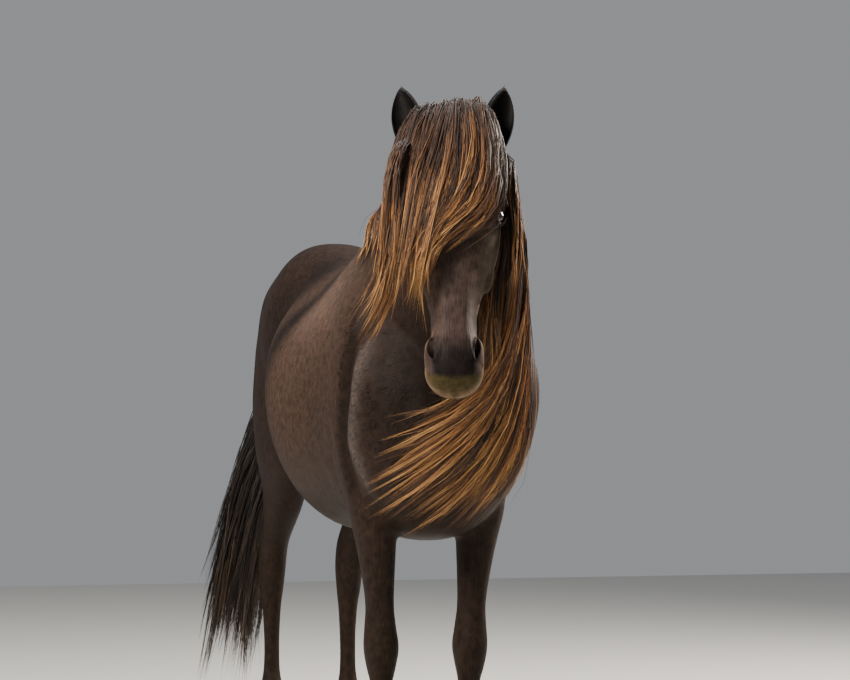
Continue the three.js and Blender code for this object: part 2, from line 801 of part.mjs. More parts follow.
function cheekLocks(count) {
  return Array.from({ length: count }, (_, i) => {
    const share = (i + 0.5) / count;
    const level = i % 2;
    const controls = [
      crestPoint(0.03 + 0.2 * share, -6, 0),
      crestPoint(0.02 + 0.2 * share, -68, -20),
      new THREE.Vector3(-214 - 10 * level, -500 + 50 * share, 1310),
      new THREE.Vector3(...along(CHEEK_TIPS, share)),
    ];
    return { controls, width: CHEEK_WIDTH + spread(4), layer: 1 + level };
  });
}

// The forelock, in head distances: it rises between the ears and sweeps over the forehead to the right
const FORELOCK_ROOTS = [[38, -50, 26], [16, -46, 24], [-16, -46, 24], [-38, -50, 26]];
const FORELOCK_TOPS = [[50, -12, -50], [20, -4, -70], [-22, -6, -68], [-54, -16, -50]];
const FORELOCK_BROW = [[74, 14, 70], [30, 34, 66], [-40, 32, 70], [-104, -6, 74]];
const FORELOCK_FACE = [[10, 30, 186], [-34, 28, 196], [-88, 8, 190], [-132, -30, 190]];
const FORELOCK_TIPS = [[-62, 6, 240], [-72, -14, 352], [-112, -40, 330], [-150, -70, 345], [-215, -95, 415]];

function forelockLocks(count, reach, shift) {
  return Array.from({ length: count }, (_, i) => {
    const share = (i + shift) / count;
    const face = along(FORELOCK_FACE, share);
    const tip = along(FORELOCK_TIPS, share).map((value, axis) => face[axis] + (value - face[axis]) * reach);
    const places = [
      along(FORELOCK_ROOTS, share),
      along(FORELOCK_TOPS, share),
      along(FORELOCK_BROW, share),
      face,
      tip,
    ];
    const level = i % 3;
    const controls = places.map(([across, out, down], step) => (
      headPoint(across, out + 9 * level * Math.min(step, 1), down)));
    controls.at(-1).add(new THREE.Vector3(spread(8), spread(4), spread(8)));
    return { controls, width: FORELOCK_WIDTH + spread(4), layer: level };
  });
}

// The tail: a short dock and long locks that blow to the right
const DOCK = [[0, 1070, 1240], [0, 1142, 1236], [-4, 1194, 1174], [-18, 1216, 1090], [-38, 1227, 984]];
const DOCK_RADIUS = 31;
const TAIL_MIDDLE = [-118, 1250, 720];
const TAIL_END = [-196, 1262, 180];

function dockCurve() {
  return new THREE.CatmullRomCurve3(DOCK.map((point) => new THREE.Vector3(...point)));
}

function dock() {
  const curve = dockCurve();
  const steps = 9;
  const rings = Array.from({ length: steps + 1 }, (_, i) => {
    const share = i / steps;
    const point = curve.getPoint(share);
    const forward = curve.getTangent(share);
    const across = new THREE.Vector3(1, 0, 0);
    const through = new THREE.Vector3().crossVectors(forward, across).normalize();
    const radius = DOCK_RADIUS * (1 - 0.72 * share);
    return ringPoints(12, (angle) => point.clone()
      .addScaledVector(across, radius * Math.cos(angle))
      .addScaledVector(through, radius * Math.sin(angle)));
  });
  return loft(rings);
}

// Tail locks leave the dock one below another and lie beside and behind one another, flat to the rear
const TAIL_COLUMNS = 5;
const TAIL_COLUMN = 20;
const TAIL_ROW = 25;

function tailLocks(count) {
  const curve = dockCurve();
  const rows = Math.ceil(count / TAIL_COLUMNS);
  return Array.from({ length: count }, (_, i) => {
    const column = i % TAIL_COLUMNS;
    const row = Math.floor(i / TAIL_COLUMNS);
    const share = (i + 0.5) / count;
    const place = new THREE.Vector3(
      (column - (TAIL_COLUMNS - 1) / 2) * TAIL_COLUMN,
      ((rows - 1) / 2 - row) * TAIL_ROW + (column % 3) * 8,
      0,
    );
    const end = new THREE.Vector3(...TAIL_END);
    end.z += 260 * (1 - share) + spread(50);
    const root = curve.getPoint(0.2 + 0.64 * share);
    const controls = [
      root,
      root.clone().addScaledVector(place, 0.8).add(new THREE.Vector3(0, 22, -70)),
      new THREE.Vector3(...TAIL_MIDDLE).add(place),
      end.addScaledVector(place, 1.2),
    ];
    return { controls, width: TAIL_WIDTH + spread(5), layer: 0, facing: unit(0.1, 1, 0.1) };
  });
}

function hair(locks, grow) {
  return joined(locks.map((each) => lock(each, grow)));
}

const maneHair = [
  ...sideLocks(8, 1, 0.1, 1, 560, 330),
  ...sideLocks(6, -1, 0.16, 1, 300, 220),
  ...sweepLocks(11),
  ...cheekLocks(3),
];
const forelockHair = forelockLocks(6, 1, 0.5);
const tailHair = tailLocks(12);

// Assembly

const grownHooves = joined(legs.map((leg) => hoof(leg, GAP)));
const grownLids = joined(eyeSides.map(({ side }) => (
  eyeBall(side, EYE_RADIUS + LID_THICKNESS + 2 * GAP))));
const forelock = [grownEars, grownLids, grownBody.subtract(headRegion(0))]
  .reduce(cut, hair(forelockHair, 0));
const aroundNeck = grownBody.subtract(neckRegion(0).subtract(headRegion(GAP)));
const mane = [grownEars, aroundNeck, hair(forelockHair, GAP), grownLids]
  .reduce(cut, hair(maneHair, 0));
const behindNeck = behindHead.subtract(neckRegion(GAP));
const foreLegs = legs.filter(({ rows }) => rows === FORELEG_ROWS);
const hindLegs = legs.filter(({ rows }) => rows === HIND_LEG_ROWS);
const withoutForeLegs = foreLegs.reduce(
  (rest, { rows, side, baseY }) => cut(
    rest,
    legLoft(rows, side, baseY, GAP).intersect(armpitRegion(side, GAP)),
  ),
  behindNeck,
);
const bareTorso = hindLegs.reduce(
  (rest, { side }) => rest.subtract(groinRegion(side, GAP)),
  withoutForeLegs,
);

function legPiece(leg) {
  const { rows, side, baseY } = leg;
  const whole = rows === FORELEG_ROWS
    ? legLoft(rows, side, baseY, 0).intersect(armpitRegion(side, 0))
    : body.intersect(groinRegion(side, 0));
  return whole.subtract(hoofRegion(leg, GAP));
}

const coatBrown = new THREE.Color(0x4a3d39);
const legBrown = new THREE.Color(0x322a28);
const maneBrown = new THREE.Color(0x6b452f);
const tailBrown = new THREE.Color(0x46392f);
const hornGrey = new THREE.Color(0x2c2826);
const eyeBrown = new THREE.Color(0x1a120d);

const parts = [
  { name: 'torso', solid: bareTorso, color: coatBrown, roughness: 0.75 },
  { name: 'neck', solid: fused(bareNeck, mane), color: maneBrown, roughness: 0.6 },
  { name: 'head', solid: fused(bareHead, forelock), color: coatBrown, roughness: 0.7 },
  {
    name: 'tail',
    solid: [grownBody, grownHooves].reduce(cut, fused(dock(), hair(tailHair, 0))),
    color: tailBrown,
    roughness: 0.65,
  },
  ...legs.map((leg) => ({
    name: leg.name,
    solid: legPiece(leg),
    color: legBrown,
    roughness: 0.75,
  })),
  ...legs.map((leg) => ({ name: leg.hoof, solid: hoof(leg), color: hornGrey, roughness: 0.5 })),
  ...earSides.map(({ name }, i) => ({
    name,
    solid: cut(ears[i], grownBody),
    color: coatBrown,
    roughness: 0.8,
  })),
  ...eyeSides.map(({ name }, i) => ({ name, solid: eyes[i], color: eyeBrown, roughness: 0.12 })),
];

// The origin lies on the floor under the middle of the whole horse.
const bounds = new THREE.Box3();
for (const { solid } of parts) {
  bounds.union(new THREE.Box3().setFromBufferAttribute(geometryOf(solid).getAttribute('position')));
}
const middle = bounds.getCenter(new THREE.Vector3()).multiplyScalar(10).round().divideScalar(10);

const horse = new THREE.Group();
for (const { name, solid, color, roughness } of parts) {
  const whole = largest(solidOf(geometryOf(largest(solid))));
  const geometry = geometryOf(whole).translate(-middle.x, -middle.y, -bounds.min.z);
  geometry.computeVertexNormals();
  const material = new THREE.MeshStandardMaterial({ color, roughness, metalness: 0 });
  const mesh = new THREE.Mesh(geometry, material);
  mesh.name = name;
  horse.add(mesh);
}

export default horse;
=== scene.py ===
"""A standing Icelandic horse, life size, as a museum shows it: skin, eyes, hooves, short coat and long hair.

The horse is drawn in millimetres, facing -Y, with its forefeet at y = 0 and its middle at x = 0.
`placed` brings drawn points to metres in the CAD model's frame."""

import math

import bpy
import numpy as np
from mathutils import Matrix, Vector
from mathutils.bvhtree import BVHTree


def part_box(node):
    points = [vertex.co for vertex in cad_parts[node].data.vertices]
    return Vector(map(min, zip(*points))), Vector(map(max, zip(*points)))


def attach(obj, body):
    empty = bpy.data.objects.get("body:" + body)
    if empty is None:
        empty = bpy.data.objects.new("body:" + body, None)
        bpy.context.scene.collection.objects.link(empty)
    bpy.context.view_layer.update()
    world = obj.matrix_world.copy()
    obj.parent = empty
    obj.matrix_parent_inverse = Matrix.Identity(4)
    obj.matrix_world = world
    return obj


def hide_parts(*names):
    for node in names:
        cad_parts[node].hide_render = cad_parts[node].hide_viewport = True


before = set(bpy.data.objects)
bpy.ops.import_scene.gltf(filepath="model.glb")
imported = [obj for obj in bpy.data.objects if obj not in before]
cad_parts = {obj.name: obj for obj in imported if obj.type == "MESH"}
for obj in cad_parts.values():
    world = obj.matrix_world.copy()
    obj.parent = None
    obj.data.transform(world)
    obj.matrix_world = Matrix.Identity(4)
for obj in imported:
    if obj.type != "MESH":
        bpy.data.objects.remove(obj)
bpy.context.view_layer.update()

# The stage
# A plain pale floor and a cloudy sky, brighter on the horse's right and from above.
# The camera stands in front, a little to the horse's right and lower than its back.
LEG_SPREAD = 100
HOOF_TOE_Y = -127
hoof_low, hoof_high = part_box("right_fore_hoof")
middle_x = (hoof_low.x + hoof_high.x) / 2 + LEG_SPREAD / 1000
origin = np.array([middle_x, hoof_low.y - HOOF_TOE_Y / 1000, 0.0])


def placed(points):
    """Drawn points in millimetres, brought to metres in the CAD model's frame."""
    return np.asarray(points, float) / 1000 + origin


CAMERA_AT = (-1378, -4806, 840)
CAMERA_AZIMUTH = math.radians(-16)
CAMERA_PITCH = math.radians(2.7)
camera_data = bpy.data.cameras.new("camera")
camera_data.sensor_width = 36
camera_data.lens = 97
camera = bpy.data.objects.new("camera", camera_data)
camera.location = placed(CAMERA_AT)
camera.rotation_euler = (math.pi / 2 + CAMERA_PITCH, 0, CAMERA_AZIMUTH)
bpy.context.collection.objects.link(camera)
bpy.context.scene.camera = camera

FLOOR_REACH = 9.0
floor_corners = [(x * FLOOR_REACH, y * FLOOR_REACH, 0) for x, y in ((-1, -1), (1, -1), (1, 1), (-1, 1))]
floor_mesh = bpy.data.meshes.new("floor")
floor_mesh.from_pydata(floor_corners, [], [(0, 1, 2, 3)])
floor = bpy.data.objects.new("floor", floor_mesh)
bpy.context.collection.objects.link(floor)
floor_finish = bpy.data.materials.new("pale_floor")
floor_finish.use_nodes = True
floor_shader = floor_finish.node_tree.nodes["Principled BSDF"]
floor_shader.inputs["Base Color"].default_value = (0.5, 0.5, 0.48, 1)
floor_shader.inputs["Roughness"].default_value = 0.9
floor_mesh.materials.append(floor_finish)

world = bpy.data.worlds.new("sky")
world.use_nodes = True
cloud_cover = world.node_tree.nodes["Background"]
cloud_cover.inputs["Color"].default_value = (0.85, 0.88, 0.92, 1)
cloud_cover.inputs["Strength"].default_value = 0.34
bpy.context.scene.world = world


def sky_light(name, at, aim, size, power, colour):
    """A wide soft light at one place that shines at another, both in metres."""
    light = bpy.data.lights.new(name, "AREA")
    light.shape = "DISK"
    light.size = size
    light.energy = power
    light.color = colour
    lamp = bpy.data.objects.new(name, light)
    lamp.location = at
    lamp.rotation_euler = (Vector(aim) - Vector(at)).to_track_quat("-Z", "Y").to_euler()
    bpy.context.collection.objects.link(lamp)


sky_light("cloud_left", (-4.2, -2.6, 4.2), (0, 0, 1.0), size=2.2, power=760, colour=(1.0, 0.93, 0.86))
sky_light("cloud_above", (0.3, 0.6, 5.2), (0, 0, 1.0), size=2.6, power=220, colour=(0.98, 0.97, 0.96))
sky_light("cloud_right", (4.2, 0.8, 3.2), (0, -0.4, 1.0), size=2.2, power=620, colour=(1.0, 0.89, 0.78))

# The body's forms
# Trunk, neck, head and legs of flesh and bone, each a smooth form through rows of its measures.
# They lie inside the CAD solids by the depth of the short coat.
COAT_DEPTH = 4.0
LOWER_LEG_COAT_DEPTH = 2.5
FACE_COAT_DEPTH = 2.0
BODY_SQUARE = 6.0
HEAD_SQUARE = 2.8
TURN = math.radians(16)
TURN_START_Y = 50
TURN_LENGTH = 500
POLL_REACH = 595
POLL_HEIGHT = 1460
NOSE_OUT = math.radians(18)
HOCK_Y = 1130
LEFT_HIND_STEP = 110
STIFLE_HEIGHT = 600
HIP_RISE = 300

# y, top, bottom, half width, height of the widest line, upper and lower fullness
TRUNK_ROWS = [
    [-280, 965, 880, 35, 922, 1, 1],
    [-262, 1040, 800, 108, 925, 1, 1],
    [-215, 1150, 722, 168, 945, 1, 0.9],
    [-142, 1262, 658, 196, 962, 1.05, 0.85],
    [-55, 1338, 638, 208, 972, 1.15, 0.85],
    [50, 1375, 636, 214, 975, 1.3, 0.85],
    [170, 1350, 644, 226, 975, 1.2, 0.85],
    [300, 1308, 646, 240, 965, 1, 0.9],
    [430, 1293, 642, 247, 960, 0.95, 0.9],
    [550, 1303, 666, 242, 985, 0.92, 0.9],
    [660, 1334, 724, 218, 1040, 0.88, 0.95],
    [770, 1356, 786, 196, 1095, 0.84, 1],
    [870, 1361, 840, 181, 1115, 0.82, 1],
    [970, 1340, 880, 162, 1120, 0.84, 1],
    [1060, 1292, 925, 134, 1120, 0.9, 1],
    [1130, 1228, 975, 94, 1110, 1, 1],
    [1168, 1160, 1035, 45, 1098, 1, 1],
]
# crest y, crest z, underline y, underline z, half width
NECK_ROWS = [
    [150, 1330, -155, 850, 120],
    [50, 1378, -234, 955, 150],
    [-80, 1410, -280, 1060, 122],
    [-200, 1440, -308, 1140, 97],
    [-310, 1462, -326, 1205, 81],
    [-400, 1474, -345, 1258, 72],
    [-470, 1474, -356, 1296, 67],
    [-535, 1455, -405, 1310, 56],
]
# down the head, face line, jaw line, half width, depth share of the widest line
HEAD_ROWS = [
    [-18, -75, -130, 26, 0.45],
    [0, -46, -172, 58, 0.42],
    [40, -17, -205, 78, 0.38],
    [90, 0, -222, 88, 0.34],
    [140, 7, -230, 95, 0.31],
    [180, 7, -229, 97, 0.31],
    [225, 3, -215, 91, 0.33],
    [268, -1, -191, 79, 0.36],
    [306, -3, -166, 63, 0.4],
    [345, -3, -144, 52, 0.43],
    [393, -3, -127, 48, 0.46],
    [431, -2, -118, 50, 0.48],
    [464, -4, -112, 55, 0.48],
    [488, -10, -106, 56, 0.5],
    [507, -22, -98, 49, 0.5],
    [522, -40, -88, 34, 0.5],
    [530, -55, -75, 16, 0.5],
]
# z, outward shift from the leg line, front, back, half width
FORELEG_ROWS = [
    [1240, 20, -20, 110, 30],
    [1180, 32, -95, 140, 52],
    [1090, 42, -165, 142, 65],
    [990, 46, -222, 124, 68],
    [900, 44, -222, 104, 66],
    [820, 36, -165, 90, 62],
    [775, 28, -124, 90, 62],
    [700, 20, -86, 62, 53],
    [610, 11, -64, 45, 42],
    [510, 4, -48, 35, 33],
    [455, 2, -47, 40, 36],
    [410, 0, -50, 45, 40],
    [365, 0, -42, 38, 34],
    [330, -1, -31, 32, 27],
    [270, -1, -27, 31, 24],
    [228, -1, -30, 38, 28],
    [192, -1, -37, 44, 34],
    [160, -1, -43, 27, 30],
    [125, -1, -54, 9, 28],
    [95, -1, -71, 3, 34],
    [60, -1, -92, 6, 40],
]
# the same down a hind leg, front and back measured from the hock line
HIND_LEG_ROWS = [
    [1290, -15, -330, -130, 40],
    [1230, -8, -440, -45, 62],
    [1140, 0, -482, 12, 68],
    [1040, 2, -470, 34, 72],
    [950, 6, -447, 18, 74],
    [870, 10, -432, -28, 72],
    [810, 10, -408, -62, 68],
    [745, 6, -330, -78, 57],
    [670, 2, -228, -55, 45],
    [612, 0, -146, 5, 37],
    [575, 0, -104, 32, 36],
    [530, 0, -76, 29, 37],
    [480, 0, -58, 21, 34],
    [420, -1, -44, 18, 27],
    [340, -1, -38, 16, 24],
    [262, -1, -40, 16, 25],
    [226, -1, -50, 21, 30],
    [194, -1, -58, 22, 34],
    [160, -1, -66, 2, 30],
    [125, -1, -78, -18, 28],
    [95, -1, -96, -28, 34],
    [60, -1, -118, -26, 39],
]
LEGS = [
    ("right_fore", FORELEG_ROWS, -1.0, 0),
    ("left_fore", FORELEG_ROWS, 1.0, 0),
    ("right_hind", HIND_LEG_ROWS, -1.0, HOCK_Y),
    ("left_hind", HIND_LEG_ROWS, 0.8, HOCK_Y - LEFT_HIND_STEP),
]


def smooth_rows(rows, at):
    """Rows read at fractional places, on a cubic curve with half the step between its neighbours as slope."""
    table = np.asarray(rows, float)
    at = np.atleast_1d(np.asarray(at, float))
    first = np.clip(np.floor(at).astype(int), 0, len(table) - 2)
    part = (at - first)[:, None]
    before = table[np.maximum(first - 1, 0)]
    here = table[first]
    after = table[first + 1]
    beyond = table[np.minimum(first + 2, len(table) - 1)]
    slope_here = (after - before) / 2
    slope_after = (beyond - here) / 2
    rise = after - here
    bend = slope_here + slope_after - 2 * rise
    return here + part * (slope_here + part * (3 * rise - 2 * slope_here - slope_after + part * bend))


def powered(value, power):
    """The value's sign times its size to a power, which squares or pinches a ring."""
    return np.sign(value) * np.abs(value) ** power


def turned(points):
    """The neck's turn: points ahead of its start go round an arc, and straight on beyond it."""
    x, y, z = np.moveaxis(np.asarray(points, float), -1, 0)
    ahead = np.maximum(TURN_START_Y - y, 0)
    behind = np.maximum(y - TURN_START_Y, 0)
    angle = TURN * np.minimum(ahead / TURN_LENGTH, 1)
    radius = TURN_LENGTH / TURN
    beyond = np.maximum(ahead - TURN_LENGTH, 0)
    forward = radius * np.sin(angle) + beyond * np.cos(angle)
    sideways = radius * (1 - np.cos(angle)) + beyond * np.sin(angle)
    y = TURN_START_Y + behind - forward - x * np.sin(angle)
    return np.stack([x * np.cos(angle) - sideways, y, z], -1)


poll = turned([0, TURN_START_Y - POLL_REACH, POLL_HEIGHT])
head_turn = np.array(Matrix.Rotation(-TURN, 3, "Z") @ Matrix.Rotation(-NOSE_OUT, 3, "X"))


def head_points(local):
    """Points of the head from their distances across, out of the face and down the face."""
    across, out, down = np.moveaxis(np.asarray(local, float), -1, 0)
    return np.stack([across, -out, -down], -1) @ head_turn.T + poll


def head_places(points):
    """Distances across, out of the face and down the face, of drawn points."""
    local = (np.asarray(points, float) - poll) @ head_turn
    return np.stack([local[..., 0], -local[..., 1], -local[..., 2]], -1)


def ring_mesh(rings):
    """Vertices and faces of rings of points joined side to side, each end closed on its middle point."""
    count, sides = rings.shape[:2]
    ring, side = np.meshgrid(np.arange(count - 1), np.arange(sides), indexing="ij")
    a = (ring * sides + side).ravel()
    b = (ring * sides + (side + 1) % sides).ravel()
    walls = np.stack([a, b, b + sides, a + sides], -1).tolist()
    around = np.arange(sides)
    after = (around + 1) % sides
    first_middle = np.full(sides, count * sides)
    last = (count - 1) * sides
    caps = np.concatenate([
        np.stack([first_middle, after, around], -1),
        np.stack([first_middle + 1, last + around, last + after], -1),
    ]).tolist()
    points = np.concatenate([rings.reshape(-1, 3), rings[[0]].mean(1), rings[[-1]].mean(1)])
    return points, walls + caps


def angles(count):
    """Angles all round, the first one off the middle plane."""
    return (np.arange(count) + 0.5) / count * 2 * np.pi


def measures(rows, count):
    """Each measure of a form as a column, read at evenly spread places along its rows."""
    spread = smooth_rows(rows, np.linspace(0, len(rows) - 1, count))
    return np.split(spread, spread.shape[1], axis=1)


def trunk_rings():
    """Each ring reaches from the widest line up to the back and down to the belly, with two fullnesses."""
    y, top, bottom, half, widest, upper, lower = measures(TRUNK_ROWS, 130)
    turn = angles(120)[None, :]
    rise = np.sin(turn)
    fullness = np.where(rise > 0, upper, lower)
    height = np.where(rise > 0, top - widest, widest - bottom)
    x = (half - COAT_DEPTH) * powered(np.cos(turn), fullness)
    z = widest + (height - COAT_DEPTH) * rise
    return np.stack([x, np.broadcast_to(y, x.shape), z], -1)


def neck_rings():
    """Each ring runs from a point of the crest to one of the underline, with the half width between."""
    crest_y, crest_z, under_y, under_z, half = measures(NECK_ROWS, 90)
    turn = angles(90)[None, :]
    share = (1 - np.sin(turn)) / 2
    depth = np.hypot(crest_y - under_y, crest_z - under_z)
    share = share - (2 * share - 1) * COAT_DEPTH / depth
    width = powered(np.cos(turn), np.where(share < 0.5, 1.15, 0.9))
    return turned(np.stack([
        (half - COAT_DEPTH) * width,
        crest_y + (under_y - crest_y) * share,
        crest_z + (under_z - crest_z) * share,
    ], -1))


def skull_rings():
    """Each ring reaches from the widest line out to the face line and back to the jaw line."""
    down, face, jaw, half, widest_share = measures(HEAD_ROWS, 150)
    turn = angles(110)[None, :]
    rise = np.sin(turn)
    widest = face + (jaw - face) * widest_share
    height = np.where(rise > 0, face - widest, widest - jaw)
    across = (half - FACE_COAT_DEPTH) * powered(np.cos(turn), np.where(rise > 0, 0.8, 1.05))
    out = widest + (height - FACE_COAT_DEPTH) * powered(rise, 0.95)
    return head_points(np.stack([across, out, np.broadcast_to(down, across.shape)], -1))


def leg_line(side, shift, z):
    """A leg hangs from its full width at the hip, and below the stifle it stands on its own line."""
    stand = abs(side)
    hip = np.clip((z - STIFLE_HEIGHT) / HIP_RISE, 0, 1)
    return np.sign(side) * (LEG_SPREAD + shift) * (stand + (1 - stand) * hip)


def leg_rings(rows, side, base_y):
    """Each ring is a squared oval at one height, between the leg's front and back."""
    z, shift, front, back, half = measures(rows, 150)
    turn = angles(56)[None, :]
    depth = np.where(z > 700, COAT_DEPTH, LOWER_LEG_COAT_DEPTH)
    x = leg_line(side, shift, z) + (half - depth) * powered(np.cos(turn), 0.9)
    y = base_y + (front + back) / 2 + ((back - front) / 2 - depth) * powered(np.sin(turn), 0.9)
    return np.stack([x, y, np.broadcast_to(z, x.shape)], -1)


def lump_rings(centre, radii, slant=None, sides=40):
    """An ellipsoid of the head about a centre, both in head distances, turned by a matrix where it slants."""
    tilt = np.linspace(0.02, np.pi - 0.02, sides // 2)[:, None]
    turn = angles(sides)[None, :]
    ball = np.stack([np.sin(tilt) * np.cos(turn), np.sin(tilt) * np.sin(turn), np.cos(tilt) + 0 * turn], -1)
    ball = ball * np.asarray(radii, float)
    if slant is not None:
        ball = ball @ np.array(slant).T
    return head_points(ball + np.asarray(centre, float))


def mesh_piece(name, parts):
    """One object of several vertex and face lists."""
    points, faces, start = [], [], 0
    for part_points, part_faces in parts:
        points.append(placed(part_points))
        faces.extend([[i + start for i in face] for face in part_faces])
        start += len(part_points)
    mesh = bpy.data.meshes.new(name)
    mesh.from_pydata(np.concatenate(points).tolist(), [], faces)
    mesh.update()
    piece = bpy.data.objects.new(name, mesh)
    bpy.context.collection.objects.link(piece)
    bpy.context.view_layer.objects.active = piece
    bpy.ops.object.select_all(action="DESELECT")
    piece.select_set(True)
    bpy.ops.object.mode_set(mode="EDIT")
    bpy.ops.mesh.select_all(action="SELECT")
    bpy.ops.mesh.normals_make_consistent(inside=False)
    bpy.ops.object.mode_set(mode="OBJECT")
    return piece


def work(piece):
    """Makes the piece's modifiers final."""
    graph = bpy.context.evaluated_depsgraph_get()
    final = bpy.data.meshes.new_from_object(piece.evaluated_get(graph))
    old = piece.data
    piece.modifiers.clear()
    piece.data = final
    bpy.data.meshes.remove(old)


def meld(piece, square, passes):
    """Makes the piece's forms one closed surface of small squares, with its creases softened."""
    remesh = piece.modifiers.new("meld", "REMESH")
    remesh.mode = "VOXEL"
    remesh.voxel_size = square / 1000
    smooth = piece.modifiers.new("smooth", "SMOOTH")
    smooth.factor = 0.5
    smooth.iterations = passes
    work(piece)


def combine(piece, operation, tool):
    """Joins the tool's space to the piece, or takes it out."""
    change = piece.modifiers.new("combine", "BOOLEAN")
    change.operation = operation
    change.solver = "EXACT"
    change.object = tool
    work(piece)
    bpy.data.objects.remove(tool)


body = mesh_piece("body", [
    ring_mesh(trunk_rings()),
    ring_mesh(neck_rings()),
    *[ring_mesh(leg_rings(rows, side, base_y)) for _, rows, side, base_y in LEGS],
])
meld(body, BODY_SQUARE, passes=14)


def points_of(piece):
    """The piece's vertices as drawn points in millimetres."""
    flat = np.empty(len(piece.data.vertices) * 3, np.float32)
    piece.data.vertices.foreach_get("co", flat)
    return (flat.reshape(-1, 3).astype(float) - origin) * 1000


def normals_of(piece):
    """The outward direction at each vertex."""
    flat = np.empty(len(piece.data.vertices) * 3, np.float32)
    piece.data.vertex_normals.foreach_get("vector", flat)
    return flat.reshape(-1, 3).astype(float)


def moved_to(piece, points):
    """Puts the piece's vertices at drawn points."""
    piece.data.vertices.foreach_set("co", placed(points).astype(np.float32).ravel())
    piece.data.update()


def bell(points, centre, radii):
    """One at the centre, falling off as a bell over the radii."""
    return np.exp(-0.5 * (((points - np.asarray(centre, float)) / np.asarray(radii, float)) ** 2).sum(-1))


def along_path(points, path, width):
    """One on a path of points, falling off as a bell over the width on both sides."""
    path = np.asarray(path, float)
    nearest = np.full(len(points), np.inf)
    for start, end in zip(path[:-1], path[1:]):
        step = end - start
        share = np.clip(((points - start) @ step) / (step @ step), 0, 1)
        nearest = np.minimum(nearest, np.linalg.norm(points - start - share[:, None] * step, axis=1))
    return np.exp(-0.5 * (nearest / width) ** 2)


MIRROR = np.array([-1, 1, 1])


def relief(points, swellings, lines):
    """How far the skin stands out at points: bells about middles and along paths, alike on both sides."""
    rise = np.zeros(len(points))
    for row in swellings:
        middle, radii, height = np.array(row[:3]), row[3:6], row[6]
        sides = [middle, middle * MIRROR] if middle[0] else [middle]
        rise += height * sum(bell(points, at, radii) for at in sides)
    for path, width, height in lines:
        path = np.array(path, float)
        rise += height * np.maximum(along_path(points, path, width), along_path(points, path * MIRROR, width))
    return rise


# Muscle and bone under the skin
# The forms that show through a short coat: shoulder, breast, elbow, flank, hip, thigh, tendons and joints.
# Each is a swelling (or a hollow, below zero) of some millimetres about a centre.
SWELLINGS = [
    # centre x, y, z, radii x, y, z, height
    [195, 25, 905, 60, 62, 95, 9],
    [150, -206, 965, 46, 40, 52, 3],
    [205, -130, 1050, 60, 34, 90, -6],
    [78, -258, 840, 44, 50, 70, 13],
    [168, 92, 770, 40, 34, 40, 7],
    [196, 690, 1150, 70, 66, 130, -26],
    [232, 520, 1060, 60, 90, 150, 4],
    [180, 400, 1220, 80, 190, 75, -22],
    [160, 640, 1270, 60, 60, 50, -12],
    [182, 705, 1268, 42, 36, 34, 7],
    [200, 735, 860, 50, 50, 70, 6],
    [180, 930, 1040, 50, 60, 130, 6],
    [160, 1010, 1230, 50, 50, 50, 3],
]
SPREAD_LINES = [
    # path, width, height
    [[[188, -178, 1060], [197, -165, 940], [194, -128, 850], [165, -130, 735]], 18, 10],
    [[[150, -130, 1180], [190, -112, 1035], [200, -105, 940], [200, -64, 850], [180, -62, 735]], 15, -13],
    [[[0, -284, 935], [0, -272, 835], [0, -226, 715]], 13, -13],
    [[[122, -225, 720], [120, -262, 840], [112, -256, 930]], 12, -5],
    [[[165, 1060, 1180], [178, 1010, 1040], [150, 1000, 880]], 14, -6],
    [[[0, 260, 1310], [0, 560, 1300], [0, 1040, 1300]], 12, -4],
    [[[110, 1110, 760], [104, 1120, 690], [101, 1140, 620]], 9, -4],
    [[[225, 600, 720], [215, 690, 830], [205, 720, 960]], 26, 4],
]
body_points = points_of(body)
rise = relief(body_points, SWELLINGS, SPREAD_LINES)
for _, rows, side, base_y in LEGS:
    fore = rows is FORELEG_ROWS
    middle_x = side * LEG_SPREAD
    bone_y = base_y + (4 if fore else -10)
    shin = np.exp(-0.5 * ((body_points[:, 2] - 300) / 62) ** 2)
    beside = np.exp(-0.5 * ((body_points[:, 1] - bone_y - 4) / 6) ** 2)
    rise -= 3.2 * shin * (beside * (abs(body_points[:, 0] - middle_x) < 60))
    for z, reach, height in ([(430, 24, 3), (395, 22, 2.5)] if fore else [(590, 26, 3)]):
        rise += height * bell(body_points, [middle_x, base_y - 45, z], [26, 24, reach])
moved_to(body, body_points + normals_of(body) * rise[:, None])

# The head's forms
# Brow, cheek, crest of the cheek, nostril rims, lips and chin on the skull, with the eyes' lids, the ears'
# cups, nostrils and the line of the mouth worked into it before it joins the body.
EYE_ACROSS = 78
EYE_OUT = -29
EYE_DOWN = 172
EYE_RADIUS = 20
LID_THICKNESS = 4.5
EYE_LOOK = 40
EYE_DROP = -24
EAR_LENGTH = 142
EAR_BASE_ACROSS = 70
EAR_TIP_ACROSS = 104
# across, out and down of a middle, its radii and its height, alike on both sides
FACE_SWELLINGS = [
    [62, -14, 112, 17, 18, 20, -7],
    [66, -4, 148, 20, 14, 12, 5],
    [88, -60, 176, 20, 24, 30, -3],
    [46, -44, 372, 16, 22, 40, -5],
    [50, -105, 300, 16, 30, 46, -5],
    [0, 6, 160, 26, 12, 40, 3],
    [0, -26, 488, 26, 18, 22, 4],
    [0, -84, 500, 26, 14, 16, 5],
    [46, -74, 460, 14, 20, 22, 4],
    [0, -110, 466, 22, 18, 20, 5],
    [54, -62, 12, 20, 20, 22, 5],
]
MOUTH_LINE = [[0, -68, 526], [22, -74, 519], [38, -84, 494], [46, -92, 460], [46, -98, 438]]
